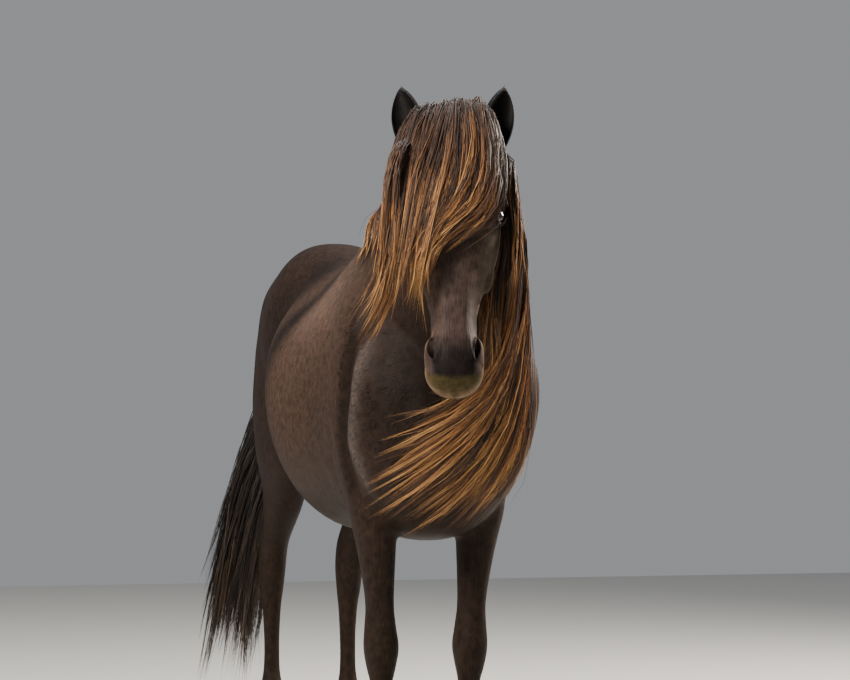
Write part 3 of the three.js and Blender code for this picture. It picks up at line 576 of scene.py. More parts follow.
# path of points, width, height
FACE_LINES = [
    [[[66, -66, 205], [63, -68, 250], [54, -62, 300], [48, -56, 335]], 6, 5],
    [[[64, -84, 215], [60, -88, 262], [50, -84, 315]], 7, -4],
    [[[28, 2, 236], [24, 0, 330], [22, -4, 430]], 7, 2.5],
    [MOUTH_LINE, 2.2, -5.5],
    [[[0, -56, 527], [24, -62, 518], [42, -72, 490], [49, -82, 456]], 5, 3],
    [[[0, -82, 521], [20, -88, 512], [36, -98, 486], [42, -108, 452]], 5, 2.5],
    [[[36, -8, 424], [32, -8, 446], [36, -14, 468]], 4.5, 4],
    [[[54, -38, 420], [59, -44, 446], [54, -42, 470]], 4.5, 4],
    [[[52, -64, 440], [50, -70, 418], [46, -76, 398]], 3, -2],
    [[[52, -80, 450], [50, -88, 430], [46, -94, 412]], 3, -2],
    [[[52, -62, 366], [50, -96, 330], [52, -130, 280], [54, -168, 232]], 3.4, 3],
    [[[50, -96, 330], [48, -84, 372], [46, -70, 410]], 3, 2.5],
    [[[52, -212, 110], [56, -226, 160], [52, -214, 214], [42, -180, 262]], 9, 4],
    [[[64, -10, 138], [84, -14, 144], [96, -30, 156]], 3, -2.5],
    [[[70, -8, 206], [88, -20, 204], [98, -38, 190]], 3, -2.5],
    [[[66, -2, 222], [86, -24, 222]], 3, -1.8],
]


def turn_matrix(about_x=0, about_y=0, about_z=0):
    """Turns about the head's own across, out and down directions, in degrees."""
    return (
        Matrix.Rotation(math.radians(about_z), 3, "Z")
        @ Matrix.Rotation(math.radians(about_y), 3, "Y")
        @ Matrix.Rotation(math.radians(about_x), 3, "X")
    )


def ear_rings(side, radius, depth, forward, start, stop, steps=44):
    """A leaf on a slanting axis: its width swells and closes as a sine, and its middle bows forward."""
    base = np.array([side * EAR_BASE_ACROSS, -62, 16.0])
    tip = np.array([side * EAR_TIP_ACROSS, -58, 16.0 - EAR_LENGTH])
    axis = tip - base
    opening = np.array([side * 0.45, 0.9, 0])
    opening /= np.linalg.norm(opening)
    across = np.cross(axis, opening)
    across /= np.linalg.norm(across)
    share = np.linspace(start, stop, steps)[:, None, None]
    turn = angles(40)[None, :, None]
    leaf = np.sin(np.pi * (0.3 + 0.7 * share) ** 1.15) ** 0.75
    middle = base + axis * share + opening * (forward + 10 * np.sin(np.pi * share))
    return head_points(middle + across * radius * leaf * np.cos(turn) + opening * depth * leaf * np.sin(turn))


head_parts = [
    ring_mesh(skull_rings()),
    ring_mesh(lump_rings([0, -60, 492], [42, 40, 30])),
    ring_mesh(lump_rings([0, -101, 474], [31, 21, 36])),
]
for side in (-1, 1):
    head_parts += [
        ring_mesh(lump_rings([side * 74, EYE_OUT, EYE_DOWN], [24, 31, 35])),
        ring_mesh(lump_rings([side * 47, -140, 190], [39, 82, 90])),
        ring_mesh(lump_rings([side * 61, -66, 262], [19, 19, 57])),
        ring_mesh(lump_rings([side * 40, -36, 448], [15, 21, 32])),
        ring_mesh(ear_rings(side, 35, 22, 0, -0.1, 0.995)),
    ]
head = mesh_piece("head_forms", head_parts)
meld(head, HEAD_SQUARE, passes=9)
face_points = points_of(head)
rise = relief(head_places(face_points), FACE_SWELLINGS, FACE_LINES)
moved_to(head, face_points + normals_of(head) * rise[:, None])
for side in (-1, 1):
    eye_middle = np.array([side * EYE_ACROSS, EYE_OUT, EYE_DOWN])
    lids = lump_rings(eye_middle, [EYE_RADIUS + LID_THICKNESS] * 3, sides=72)
    combine(head, "UNION", mesh_piece("lids", [ring_mesh(lids)]))
    look = turn_matrix(about_x=EYE_DROP, about_z=side * EYE_LOOK)
    flare = turn_matrix(-14, side * -13, side * 32)
    opening_middle = eye_middle + np.array(look) @ np.array([side * 22.0, 0, 0])
    for name, rings in (
        ("socket", lump_rings(eye_middle, [EYE_RADIUS + 0.2] * 3, sides=72)),
        ("between_lids", lump_rings(opening_middle, [34, 13, 18.5], look)),
        ("nostril", lump_rings([side * 43, -22, 446], [15, 7.5, 25], flare)),
        ("ear_cup", ear_rings(side, 29, 19, 14, 0.12, 0.95)),
    ):
        combine(head, "DIFFERENCE", mesh_piece(name, [ring_mesh(rings)]))

# Skin
# One hide over the whole horse, without a seam, that the head's forms and the body share.
# Its short hair lies flat: dark brown, redder on the barrel, with a tan rim round the muzzle and olive lips.
# Painted into this colour are light on the barrel, its top, the shoulder's edge, the cheeks, the nose bridge's
# edge and the muzzle's rim, and shade, near black, in the flank's hollow, the groove behind the shoulder, on
# the breast, in the nostrils and in the mouth's crease.
COAT_BROWN = (0.0190, 0.0118, 0.0088)
# the barrel's redder brown, partly its own colour and partly painted light where it bulges towards the sky,
# also laid just behind the shoulder
LIT_BARREL_BROWN = (0.0440, 0.0262, 0.0180)
SUNLIT_BROWN = (0.0820, 0.0510, 0.0375)
RUMP_BROWN = (0.0150, 0.0090, 0.0066)
# painted shade on the breast under the neck
BREAST_SHADE = (0.0085, 0.0057, 0.0044)
SHOULDER_SHEEN = (0.0750, 0.0600, 0.0520)
# painted shade for the flank's hollow, its front edge and the groove behind the shoulder
GROOVE_SHADE = (0.0060, 0.0040, 0.0032)
LEG_BLACK = (0.0150, 0.0098, 0.0070)
FACE_BROWN = (0.0400, 0.0265, 0.0225)
# the cheek's lighter olive brown, partly its own colour and partly a painted sheen
CHEEK_SHEEN_BROWN = (0.0500, 0.0370, 0.0240)
MUZZLE_DARK = (0.0095, 0.0072, 0.0068)
# the muzzle's pale rim: its own mealy tan, lightened further by painted backlight
TAN_RIM_AND_BACKLIGHT = (0.1750, 0.1130, 0.0700)
# painted highlight along the edge of the nose bridge
BRIDGE_HIGHLIGHT = (0.1000, 0.0660, 0.0500)
LIP_OLIVE = (0.0420, 0.0315, 0.0125)
# the bare dark skin of the lids round the eye, and painted shade in the crease of the mouth
DARK_SKIN_AND_CREASE_SHADE = (0.0070, 0.0062, 0.0064)
# painted shade in the nostril's slit
NOSTRIL_SHADE = (0.0040, 0.0034, 0.0034)
EAR_BROWN = (0.0038, 0.0031, 0.0029)

skin = body
skin.name = "skin"
thin = skin.modifiers.new("thin", "DECIMATE")
thin.ratio = 0.36
combine(skin, "UNION", head)
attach(skin, "root")
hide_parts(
    "torso", "neck", "head", "right_foreleg", "left_foreleg", "right_hind_leg", "left_hind_leg",
    "right_ear", "left_ear",
)
skin.data.shade_smooth()


def eased(value, low, high):
    """Zero below low, one above high, and a smooth rise between."""
    share = np.clip((value - low) / (high - low), 0, 1)
    return share * share * (3 - 2 * share)


def folded(points):
    """Points with the right side's brought over to the left."""
    return np.concatenate([abs(points[:, :1]), points[:, 1:]], 1)


def on_head(places):
    """One on the head, falling to zero where the jaw and poll meet the neck."""
    across, out, down = folded(places).T
    return eased(out, -262, -214) * eased(down, -8, 26) * eased(-across, -150, -120)


def on_legs(points):
    """One down the legs, falling to zero where they meet the trunk."""
    return eased(-points[:, 2], -860, -700)


def on_ears(places):
    """One on the ears."""
    return eased(-places[:, 2], -6, 8) * eased(abs(places[:, 0]), 34, 46) * eased(places[:, 1], -100, -92)


# in head distances: the nostril's slit, painted with shade; the pale rim from outside it round the muzzle to
# the chin, its own tan with painted backlight on it; and the edge of the nose bridge, with a painted highlight
NOSTRIL_LINE = [[47, -22, 426], [43, -23, 450], [34, -20, 472]]
RIM_LINE = [[54, -38, 412], [58, -48, 446], [53, -58, 482], [36, -62, 510], [14, -62, 526]]
BRIDGE_LINE = [[40, -10, 300], [40, -12, 360], [44, -14, 412]]
# the shoulder's edge, lit with a painted sheen, and the groove behind it in painted shade, then the flank's
# hollow and its front edge, both in painted shade
SHOULDER_EDGE = [[170, -205, 1110], [192, -178, 1040], [199, -165, 940], [196, -128, 850], [175, -120, 760]]
SHOULDER_GROOVE = [[180, -130, 1150], [198, -105, 1040], [208, -95, 940], [208, -55, 850], [190, -50, 750]]
FLANK_LINE = [[120, 560, 1290], [190, 640, 1230], [205, 690, 1120], [212, 660, 980], [215, 610, 850]]
FLANK_EDGE = [[150, 330, 1245], [185, 400, 1180], [203, 470, 1110], [210, 540, 1030], [210, 590, 960]]


def coat_colour_and_light(points):
    """The coat's colour at drawn points, each part of the body brought by a soft share to its own brown, with
    painted light and shade on some.
    """
    side = folded(points)
    _, y, z = side.T
    places = folded(head_places(points))
    across, out, down = places.T
    head = on_head(places)
    eye = np.linalg.norm(places - [EYE_ACROSS, EYE_OUT, EYE_DOWN], axis=1)
    colours = np.tile(np.array(COAT_BROWN), (len(points), 1))
    # Some rows paint light (the barrel, its top, the shoulder's edge, the cheeks, the muzzle's rim, the nose
    # bridge's edge) and some paint shade (the flank's hollow and edge, the groove behind the shoulder, the
    # breast, the nostrils, the mouth's crease) over the coat's own colours.
    for colour, share in (
        (LIT_BARREL_BROWN, 0.95 * bell(side, [235, 420, 1010], [130, 220, 190])),
        (RUMP_BROWN, 0.9 * eased(y - 0.5 * (z - 1050), 560, 700)),
        (SUNLIT_BROWN, 0.85 * bell(side, [190, 230, 1190], [80, 170, 90])),
        (GROOVE_SHADE, 0.95 * along_path(side, FLANK_LINE, 60)),
        (GROOVE_SHADE, 0.95 * along_path(side, FLANK_EDGE, 44)),
        (LIT_BARREL_BROWN, 0.45 * bell(side, [215, 10, 1080], [70, 70, 180])),
        (BREAST_SHADE, 0.85 * bell(side, [90, -290, 950], [120, 100, 220])),
        (GROOVE_SHADE, 0.75 * along_path(side, SHOULDER_GROOVE, 20)),
        (SHOULDER_SHEEN, 0.6 * along_path(side, SHOULDER_EDGE, 15)),
        (LEG_BLACK, eased(-z, -760, -520)),
        (FACE_BROWN, head),
        (CHEEK_SHEEN_BROWN, head * bell(places, [78, -90, 250], [40, 60, 90])),
        (MUZZLE_DARK, head * eased(down, 415, 465) * eased(-across, -48, -34)),
        (LIP_OLIVE, head * eased(down - 0.35 * out + 0.12 * across, 505, 521)),
        (TAN_RIM_AND_BACKLIGHT, 0.9 * head * along_path(places, RIM_LINE, 8.5)),
        (BRIDGE_HIGHLIGHT, 0.8 * head * along_path(places, BRIDGE_LINE, 7)),
        (NOSTRIL_SHADE, head * np.clip(along_path(places, NOSTRIL_LINE, 5.5) * 1.5, 0, 1)),
        (DARK_SKIN_AND_CREASE_SHADE, head * along_path(places, MOUTH_LINE, 2.6)),
        (DARK_SKIN_AND_CREASE_SHADE, eased(-eye, -36, -26)),
        (EAR_BROWN, on_ears(places)),
    ):
        colours = colours + (np.asarray(colour) - colours) * np.clip(share, 0, 1)[:, None]
    return colours


def coat_lie(points):
    """The way the hair lies at drawn points: back and down the body, down the legs and face, up the ears."""
    lie = np.tile(np.array([0, 0.86, -0.5]), (len(points), 1))
    places = head_places(points)
    for way, share in (
        (np.array([0, 0.2, -1.0]), on_legs(points)),
        (np.array([0, 0.25, -1.0]) @ head_turn.T, on_head(places)),
        (np.array([0, 0, 1.0]) @ head_turn.T, on_ears(places)),
    ):
        lie = lie * (1 - share[:, None]) + way * share[:, None]
    return lie / np.linalg.norm(lie, axis=1, keepdims=True)


def coat_region(points):
    """The shares of leg and head at drawn points, for the lie of the flat hair, kept as a colour."""
    return np.stack([on_legs(points), on_head(head_places(points)), np.zeros(len(points))], -1)


def point_colours(mesh, name, colours):
    """A colour kept at each vertex under a name that materials read."""
    values = np.concatenate([colours, np.ones((len(colours), 1))], 1)
    layer = mesh.attributes.new(name, "FLOAT_COLOR", "POINT")
    layer.data.foreach_set("color", values.astype(np.float32).ravel())


skin_points = points_of(skin)
point_colours(skin.data, "coat_colour_and_light", coat_colour_and_light(skin_points))
point_colours(skin.data, "coat_region", coat_region(skin_points))


def fed(tree, node, feeds, values):
    """The node with some inputs fed by other nodes' outputs and others set."""
    for key, output in feeds.items():
        tree.links.new(output, node.inputs[key])
    for key, value in values.items():
        node.inputs[key].default_value = value
    return node


def new_node(tree, kind, feeds={}, values={}, **options):
    """A shader node of a kind, with its options, feeds and values."""
    node = tree.nodes.new("ShaderNode" + kind)
    for key, value in options.items():
        setattr(node, key, value)
    return fed(tree, node, feeds, values)


def scaled(tree, colour, share):
    """A colour made darker or lighter by a share."""
    return new_node(tree, "VectorMath", {0: colour, "Scale": share}, operation="SCALE").outputs["Vector"]


def new_finish(name):
    """A material with its node tree and its shader."""
    material = bpy.data.materials.new(name)
    material.use_nodes = True
    return material, material.node_tree, material.node_tree.nodes["Principled BSDF"]


def flat_hair_group():
    """Short flat hair: fine noise drawn out along the lie of trunk, legs and head, with a broader mottle."""
    group = bpy.data.node_groups.new("flat_hair", "ShaderNodeTree")
    for name in ("Height", "Shade"):
        group.interface.new_socket(name, in_out="OUTPUT", socket_type="NodeSocketFloat")
    place = new_node(group, "TexCoord").outputs["Object"]
    region = new_node(group, "Attribute", attribute_name="coat_region")
    parts = new_node(group, "SeparateColor", {"Color": region.outputs["Color"]})
    drawn = []
    for way in ((math.radians(60), 0, 0), (math.radians(11), 0, 0), Matrix(head_turn.tolist()).to_euler()):
        stretch = {"Rotation": way, "Scale": (1.0, 1.0, 9.0)}
        combed = new_node(group, "Mapping", {"Vector": place}, stretch, vector_type="TEXTURE")
        hair = new_node(group, "TexNoise", {"Vector": combed.outputs[0]}, {"Scale": 420, "Detail": 2})
        drawn.append(hair.outputs["Fac"])
    on_trunk, on_leg, on_face = drawn
    legs = new_node(group, "Mix", {"Factor": parts.outputs["Red"], "A": on_trunk, "B": on_leg})
    body_hair = legs.outputs["Result"]
    face = new_node(group, "Mix", {"Factor": parts.outputs["Green"], "A": body_hair, "B": on_face})
    mottle = new_node(group, "TexNoise", {"Vector": place}, {"Scale": 62, "Detail": 3})
    both = new_node(group, "Math", {0: face.outputs["Result"], 1: mottle.outputs["Fac"]}, operation="ADD")
    shade = new_node(
        group, "MapRange", {"Value": both.outputs[0]},
        {"From Min": 0.7, "From Max": 1.3, "To Min": 0.6, "To Max": 1.45},
    )
    result = group.nodes.new("NodeGroupOutput")
    fed(group, result, {"Height": face.outputs["Result"], "Shade": shade.outputs["Result"]}, {})
    return group


flat_hair = flat_hair_group()
COAT_GLOSS = 0.04
HAIR_BUMP = 0.0012


def coat_finish(name, roughness, bump):
    """The coat's colours with their painted light and shade, kept at each vertex, mottled and combed by the
    flat hair group.
    """
    material, tree, shader = new_finish(name)
    coat_and_light = new_node(tree, "Attribute", attribute_name="coat_colour_and_light")
    combed = new_node(tree, "Group", node_tree=flat_hair)
    shaded = scaled(tree, coat_and_light.outputs["Color"], combed.outputs["Shade"])
    fed(tree, shader, {"Base Color": shaded}, {"Roughness": roughness, "Specular IOR Level": COAT_GLOSS})
    if bump:
        raised = new_node(
            tree, "Bump", {"Height": combed.outputs["Height"]}, {"Strength": bump, "Distance": HAIR_BUMP},
        )
        fed(tree, shader, {"Normal": raised.outputs["Normal"]}, {})
    return material


hide = coat_finish("hide", roughness=0.52, bump=0.7)
skin.data.materials.clear()
skin.data.materials.append(hide)

# Eyes
# The two eyeballs, wet and glassy, in the sockets of the skin and seen between its lids.
# Each has a clear bulge in front, over a dark brown iris and a long level pupil.
IRIS_BROWN = (0.045, 0.019, 0.008)
IRIS_RIM = (0.012, 0.006, 0.004)
PUPIL_BLACK = (0.0015, 0.0018, 0.0028)
EYE_WHITE = (0.30, 0.25, 0.21)
eye_finish, eye_tree, eye_shader = new_finish("eye")
eye_tint = new_node(eye_tree, "Attribute", attribute_name="eye_colour")
fed(
    eye_tree, eye_shader, {"Base Color": eye_tint.outputs["Color"]},
    {"Roughness": 0.12, "Coat Weight": 1.0, "Coat Roughness": 0.11},
)
for side, node in ((-1, "right_eye"), (1, "left_eye")):
    look = np.array(turn_matrix(about_x=EYE_DROP, about_z=side * EYE_LOOK))
    tilt = np.linspace(0, np.pi, 97)[1:-1, None]
    turn = angles(96)[None, :]
    ahead = np.cos(tilt) + 0 * turn
    length = np.sin(tilt) * np.cos(turn)
    height = np.sin(tilt) * np.sin(turn)
    radius = (EYE_RADIUS - 0.6) * (1 + 0.07 * np.exp(-((tilt / 0.55) ** 2)))
    ball = np.stack([side * radius * ahead, radius * height, radius * length], -1) @ look.T
    rings = head_points(ball + [side * EYE_ACROSS, EYE_OUT, EYE_DOWN])
    eye = mesh_piece(node.replace("_eye", "_eyeball"), [ring_mesh(rings)])
    from_middle = tilt + 0 * turn
    spokes = 0.75 + 0.5 * np.abs(np.sin(turn * 37 + 3 * np.sin(turn * 5))) + 0 * tilt
    colours = np.array(EYE_WHITE) * np.ones(rings.shape)
    for colour, share in (
        (np.array(IRIS_RIM), eased(-from_middle, -0.92, -0.86)),
        (np.array(IRIS_BROWN) * spokes[..., None], eased(-from_middle, -0.84, -0.72)),
        (np.array(PUPIL_BLACK), eased(-np.hypot(length / 0.46, height / 0.24), -1.08, -0.94)),
    ):
        colours = colours * (1 - share[..., None]) + share[..., None] * colour
    colours = np.concatenate([colours.reshape(-1, 3), [PUPIL_BLACK, EYE_WHITE]])
    point_colours(eye.data, "eye_colour", colours)
    eye.data.shade_smooth()
    eye.data.materials.append(eye_finish)
    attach(eye, "root")
    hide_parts(node)

# Hooves
# Four unshod walls of dark horn, one round the end of each leg, closed below by the sole it stands on.
# Each is longer at the toe, with growth rings round it and fine lines down it, and worn pale at the ground.
HOOF_HEIGHT = 76
CORONET_SLOPE = math.tan(math.radians(16))
HORN_DARK = (0.020, 0.0165, 0.0145)
WORN_HORN = (0.05, 0.042, 0.034)
# height, half width, half length, how far the toe runs forward
HOOF_ROWS = [[0, 56, 63, 20], [4, 57, 64, 20], [30, 52, 59, 14], [60, 44, 52, 6], [96, 40, 48, 0]]
horn, horn_tree, horn_shader = new_finish("horn")
horn_tint = new_node(horn_tree, "Attribute", attribute_name="horn_colour")
horn_place = new_node(horn_tree, "TexCoord")
horn_at = horn_place.outputs["Object"]
horn_lines = new_node(horn_tree, "Mapping", {"Vector": horn_at}, {"Scale": (700, 700, 60)})
horn_noise = new_node(horn_tree, "TexNoise", {"Vector": horn_lines.outputs[0]}, {"Scale": 1.0, "Detail": 3})
horn_grain = horn_noise.outputs["Fac"]
horn_shade = new_node(horn_tree, "MapRange", {"Value": horn_grain}, {"To Min": 0.55, "To Max": 1.5})
horn_colour = scaled(horn_tree, horn_tint.outputs["Color"], horn_shade.outputs["Result"])
horn_bump = new_node(horn_tree, "Bump", {"Height": horn_grain}, {"Strength": 0.45, "Distance": 0.001})
horn_feeds = {"Base Color": horn_colour, "Normal": horn_bump.outputs["Normal"]}
fed(horn_tree, horn_shader, horn_feeds, {"Roughness": 0.48})
for name, rows, side, base_y in LEGS:
    _, _, front, back, _ = rows[-1]
    coronet_y = base_y + (front + back) / 2
    turn = angles(96)[None, :]
    share = np.concatenate([np.linspace(0, 1, 61), [1.0, 1.0]])[:, None]
    heel = np.where(np.sin(turn) > 0, 0.88, 1.0)
    top = HOOF_HEIGHT - 50 * np.sin(turn) * heel * CORONET_SLOPE
    z = share * top
    heights, *sizes = np.array(HOOF_ROWS, float).T
    half_width, half_length, toe = (np.interp(z, heights, size) for size in sizes)
    growth = np.mod(share * 7 + 0.15 * np.sin(turn), 1) - 0.5
    rings = 0.9 * np.exp(-(growth / 0.22) ** 2) * eased(share, 0.05, 0.2)
    band = 2.2 * np.exp(-((share - 0.95) / 0.05) ** 2)
    inward = np.concatenate([np.zeros(61), [3.0, 12.0]])[:, None]
    swell = rings + band - 1.2 - inward
    x = side * LEG_SPREAD + (half_width + swell) * np.cos(turn)
    y = coronet_y - toe + (half_length + swell) * np.sin(turn) * heel
    hoof = mesh_piece(f"{name}_hoof_wall", [ring_mesh(np.stack([x, y, z + 0 * x], -1))])
    colours = np.array(HORN_DARK) * (0.7 + 0.6 * rings[..., None] / 0.9)
    colours = colours + np.array(WORN_HORN) * (eased(-z, -9, -1) * 0.8)[..., None]
    colours = np.concatenate([colours.reshape(-1, 3), np.full((2, 3), 0.02)])
    point_colours(hoof.data, "horn_colour", colours)
    hoof.data.shade_smooth()
    hoof.data.materials.append(horn)
    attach(hoof, "root")
    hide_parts(f"{name}_hoof")

# Short coat
# Small flat tufts that overlap like tiles along the lie, over the same hide and in its colours.
# They are shortest on the face and feet, longer under the jaw and belly, behind the fetlocks and in the ears.
TUFT_COUNT = 56_000
TUFT_LENGTH = 15
TUFT_SLENDERNESS = 0.11
TUFT_SINK = 0.8
LEG_COAT_TOP = 640
MAP_PATCH = 0.003
PIECE_TRIANGLES = 190_000
dice = np.random.default_rng(seed=11)


def tuft_length(points, places):
    """The coat's length in millimetres at drawn points."""
    z = points[:, 2]
    _, out, down = places.T
    length = np.full(len(points), float(TUFT_LENGTH))
    length += 11 * bell(points, [0, 380, 665], [130, 330, 60])
    length += 12 * bell(points, [0, -250, 780], [120, 90, 130])
    length += eased(-z, -760, -560) * (10 - length)
    for _, rows, side, base_y in LEGS:
        fetlock = 205 if rows is FORELEG_ROWS else 215
        length += 22 * bell(points, [side * LEG_SPREAD, base_y + 42, fetlock - 12], [26, 22, 34])
        length += 8 * bell(points, [side * LEG_SPREAD, base_y - 40, 92], [50, 70, 14])
    head_share = on_head(places)
    length += head_share * (8 - length)
    length += head_share * (17 * eased(-out, 118, 190) * eased(-down, -420, -300))
    length += head_share * (5 * bell(places, [0, -105, 500], [40, 26, 36]))
    length += head_share * -2.5 * eased(down, 380, 460)
    length += on_ears(places) * (9 - length)
    return np.clip(length, 4.5, 40)


def tuft_shapes(roots, normals, lie, length, width, lift):
    """A tuft is a flat three-sided sliver: two rings of three points and a tip, bowing over from the root."""
    along = lie - (lie * normals).sum(-1, keepdims=True) * normals
    along /= np.linalg.norm(along, axis=1, keepdims=True)
    across = np.cross(normals, along)
    share = np.array([0.0, 0.5])[None, :, None]
    spine = roots[:, None] + along[:, None] * (length[:, None, None] * share)
    spine += normals[:, None] * ((lift * length)[:, None, None] * np.array([-0.15, 0.62])[None, :, None])
    half = (width[:, None] * np.array([0.42, 0.5])[None, :])[..., None, None]
    corners = np.array([[-1, 0], [1, 0], [0, 0.3]])[None, None]
    ring = spine[:, :, None] + half * (
        across[:, None, None] * corners[..., :1] + normals[:, None, None] * corners[..., 1:]
    )
    tip = roots + along * length[:, None] + normals * (lift * length * 0.75)[:, None]
    return np.concatenate([ring.reshape(len(roots), 6, 3), tip[:, None]], 1)


TUFT_FACES = np.array([
    [0, 2, 1], [0, 1, 4], [0, 4, 3], [1, 2, 5], [1, 5, 4], [2, 0, 3], [2, 3, 5],
    [3, 4, 6], [4, 5, 6], [5, 3, 6],
])


def around_body(points):
    """The skin's own unwrap: once round the body, neck or leg across the map, and along it up the map."""
    x, y, z = points.T
    low, hind = z < LEG_COAT_TOP, y > 500
    middle_x = np.where(low, np.where(x > 0, 1, -1) * LEG_SPREAD, 0)
    over = np.where(low, y - np.where(hind, HOCK_Y - 50, 0), z - np.where(y < -100, 1200, 1000))
    turn = np.arctan2(x - middle_x, over) / (2 * np.pi) + 0.5
    run = np.where(low, z / LEG_COAT_TOP, (y + 350) / 1600)
    leg = np.where(hind, 2, 0) + (x > 0)
    return np.stack([np.where(low, 0.7 + 0.28 * run, 0.68 * run), np.where(low, (leg + turn) / 4, turn)], -1)


def around_head(places):
    """The head's own unwrap: once round it across the map, and down it up the map."""
    turn = np.arctan2(places[:, 0], places[:, 1] + 90) / (2 * np.pi) + 0.5
    return np.stack([turn, np.clip((places[:, 2] + 120) / 690, 0, 1)], -1)


def add_coat(name, shapes, shape_faces, layers, uv, finish, body_node=None):
    """Many like shapes in a few pieces, with colours and places on the OFBake map for their points."""
    shapes_a_piece = PIECE_TRIANGLES // len(shape_faces)
    for number, start in enumerate(range(0, len(shapes), shapes_a_piece)):
        some = slice(start, start + shapes_a_piece)
        count, points_each = shapes[some].shape[:2]
        faces = (shape_faces[None] + (np.arange(count) * points_each)[:, None, None]).reshape(-1, 3)
        mesh = bpy.data.meshes.new(f"{name}_{number + 1}")
        mesh.vertices.add(count * points_each)
        mesh.vertices.foreach_set("co", placed(shapes[some]).astype(np.float32).ravel())
        mesh.loops.add(len(faces) * 3)
        mesh.loops.foreach_set("vertex_index", faces.astype(np.int32).ravel())
        mesh.polygons.add(len(faces))
        mesh.polygons.foreach_set("loop_start", np.arange(0, len(faces) * 3, 3, dtype=np.int32))
        mesh.update(calc_edges=True)
        mesh.shade_smooth()
        layer = mesh.uv_layers.new(name="OFBake")
        layer.uv.foreach_set("vector", uv[some].reshape(-1, 2)[faces.ravel()].astype(np.float32).ravel())
        for key, colours in layers.items():
            point_colours(mesh, key, colours[some].reshape(-1, 3))
        mesh.materials.append(finish)
        piece = bpy.data.objects.new(mesh.name, mesh)
        bpy.context.collection.objects.link(piece)
        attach(piece, "root")
        if body_node:
            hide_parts(body_node)


def skin_samples(count):
    """Roots spread over the skin, closer where the coat is shorter, with the way out at each."""
    mesh = skin.data
    mesh.calc_loop_triangles()
    corners = np.empty(len(mesh.loop_triangles) * 3, np.int32)
    mesh.loop_triangles.foreach_get("vertices", corners)
    corners = corners.reshape(-1, 3)
    areas = np.empty(len(corners), np.float32)
    mesh.loop_triangles.foreach_get("area", areas)
    normals = normals_of(skin)
    middles = skin_points[corners].mean(1)
    weight = areas / tuft_length(middles, head_places(middles)) ** 1.25
    chosen = dice.choice(len(corners), count, p=weight / weight.sum())
    first, second = dice.random((2, count, 1))
    over = first + second > 1
    first, second = np.where(over, 1 - first, first), np.where(over, 1 - second, second)
    parts = np.concatenate([1 - first - second, first, second], 1)[..., None]
    roots = (skin_points[corners[chosen]] * parts).sum(1)
    ways = (normals[corners[chosen]] * parts).sum(1)
    return roots, ways / np.linalg.norm(ways, axis=1, keepdims=True)


roots, ways = skin_samples(TUFT_COUNT)
places = head_places(roots)
side_places = folded(places)
bare = np.linalg.norm(side_places - [EYE_ACROSS, EYE_OUT, EYE_DOWN], axis=1) < EYE_RADIUS + 7
bare |= along_path(side_places, NOSTRIL_LINE, 6) > 0.35
bare |= (along_path(side_places, MOUTH_LINE, 4) > 0.4) & (on_head(places) > 0.5)
roots, ways, places = roots[~bare], ways[~bare], places[~bare]
length = tuft_length(roots, places) * dice.uniform(0.7, 1.3, len(roots))
width = length * TUFT_SLENDERNESS * dice.uniform(0.7, 1.3, len(roots))
lift = dice.uniform(0.01, 0.04, len(roots)) + 0.14 * eased(length, 22, 38)
strays = coat_lie(roots) + dice.normal(0, 0.1, (len(roots), 3))
shapes = tuft_shapes(roots - ways * TUFT_SINK, ways, strays, length, width, lift)
tint = coat_colour_and_light(roots) * dice.uniform(0.95, 1.4, (len(roots), 1))
tint = tint[:, None] * np.array([0.85] * 3 + [1.0] * 3 + [1.25])[None, :, None]
coat_tufts = coat_finish("coat_tufts", roughness=0.55, bump=0)
is_head = on_head(places) + on_ears(places) > 0.5
is_leg = ~is_head & (roots[:, 2] < LEG_COAT_TOP)
corners = np.array([[0, 0], [1, 0], [0.5, 0], [0, 0.5], [1, 0.5], [0.5, 0.5], [0.5, 1]]) * MAP_PATCH
for part, inside in (("head", is_head), ("leg", is_leg), ("body", ~is_head & ~is_leg)):
    here = shapes[inside]
    uv = (around_head(places) if part == "head" else around_body(roots))[inside]
    uv = (uv * (1 - MAP_PATCH))[:, None] + corners[None]
    regions = coat_region(here.reshape(-1, 3)).reshape(here.shape)
    layers = {"coat_colour_and_light": tint[inside], "coat_region": regions}
    add_coat(f"{part}_coat", here, TUFT_FACES, layers, uv, coat_tufts)

# Long hair
# The mane falls from the crest to both sides, the forelock from between the ears over the right half of the
# face. The wind from the horse's left carries both to its right. Each lock is many thin tapering hairs about
# one curve.
RINGS = 10
SKIN_CLEARANCE = 5
graph = bpy.context.evaluated_depsgraph_get()
skin_tree = BVHTree.FromObject(skin, graph)


def through(controls, count):
    """Points evenly along a smooth curve through a few control points."""
    dense = smooth_rows(controls, np.linspace(0, len(controls) - 1, 120))
    run = np.concatenate([[0], np.cumsum(np.linalg.norm(np.diff(dense, axis=0), axis=1))])
    at = np.linspace(0, run[-1], count)
    return np.stack([np.interp(at, run, dense[:, axis]) for axis in range(3)], -1)


def lifted(points, clearance):
    """Points moved out of the skin where they lie closer than the clearance, and the way out at each."""
    result, outward = [], []
    for point, gap in zip(placed(points), np.broadcast_to(clearance, len(points))):
        on_skin, normal, _, _ = skin_tree.find_nearest(Vector(point))
        away = Vector(point) - on_skin
        outside = away.dot(normal) > 0
        way = away.normalized() if outside and away.length > 0.002 else normal
        if not outside or away.length < gap / 1000:
            point = np.array(on_skin + way * gap / 1000)
        result.append(point)
        outward.append(np.array(way))
    return (np.array(result) - origin) * 1000, np.array(outward)


def soften(values):
    """Each value with a share of its neighbours along the curve, the ends kept."""
    values = values.copy()
    for _ in range(3):
        values[1:-1] = 0.5 * values[1:-1] + 0.25 * (values[:-2] + values[2:])
    return values


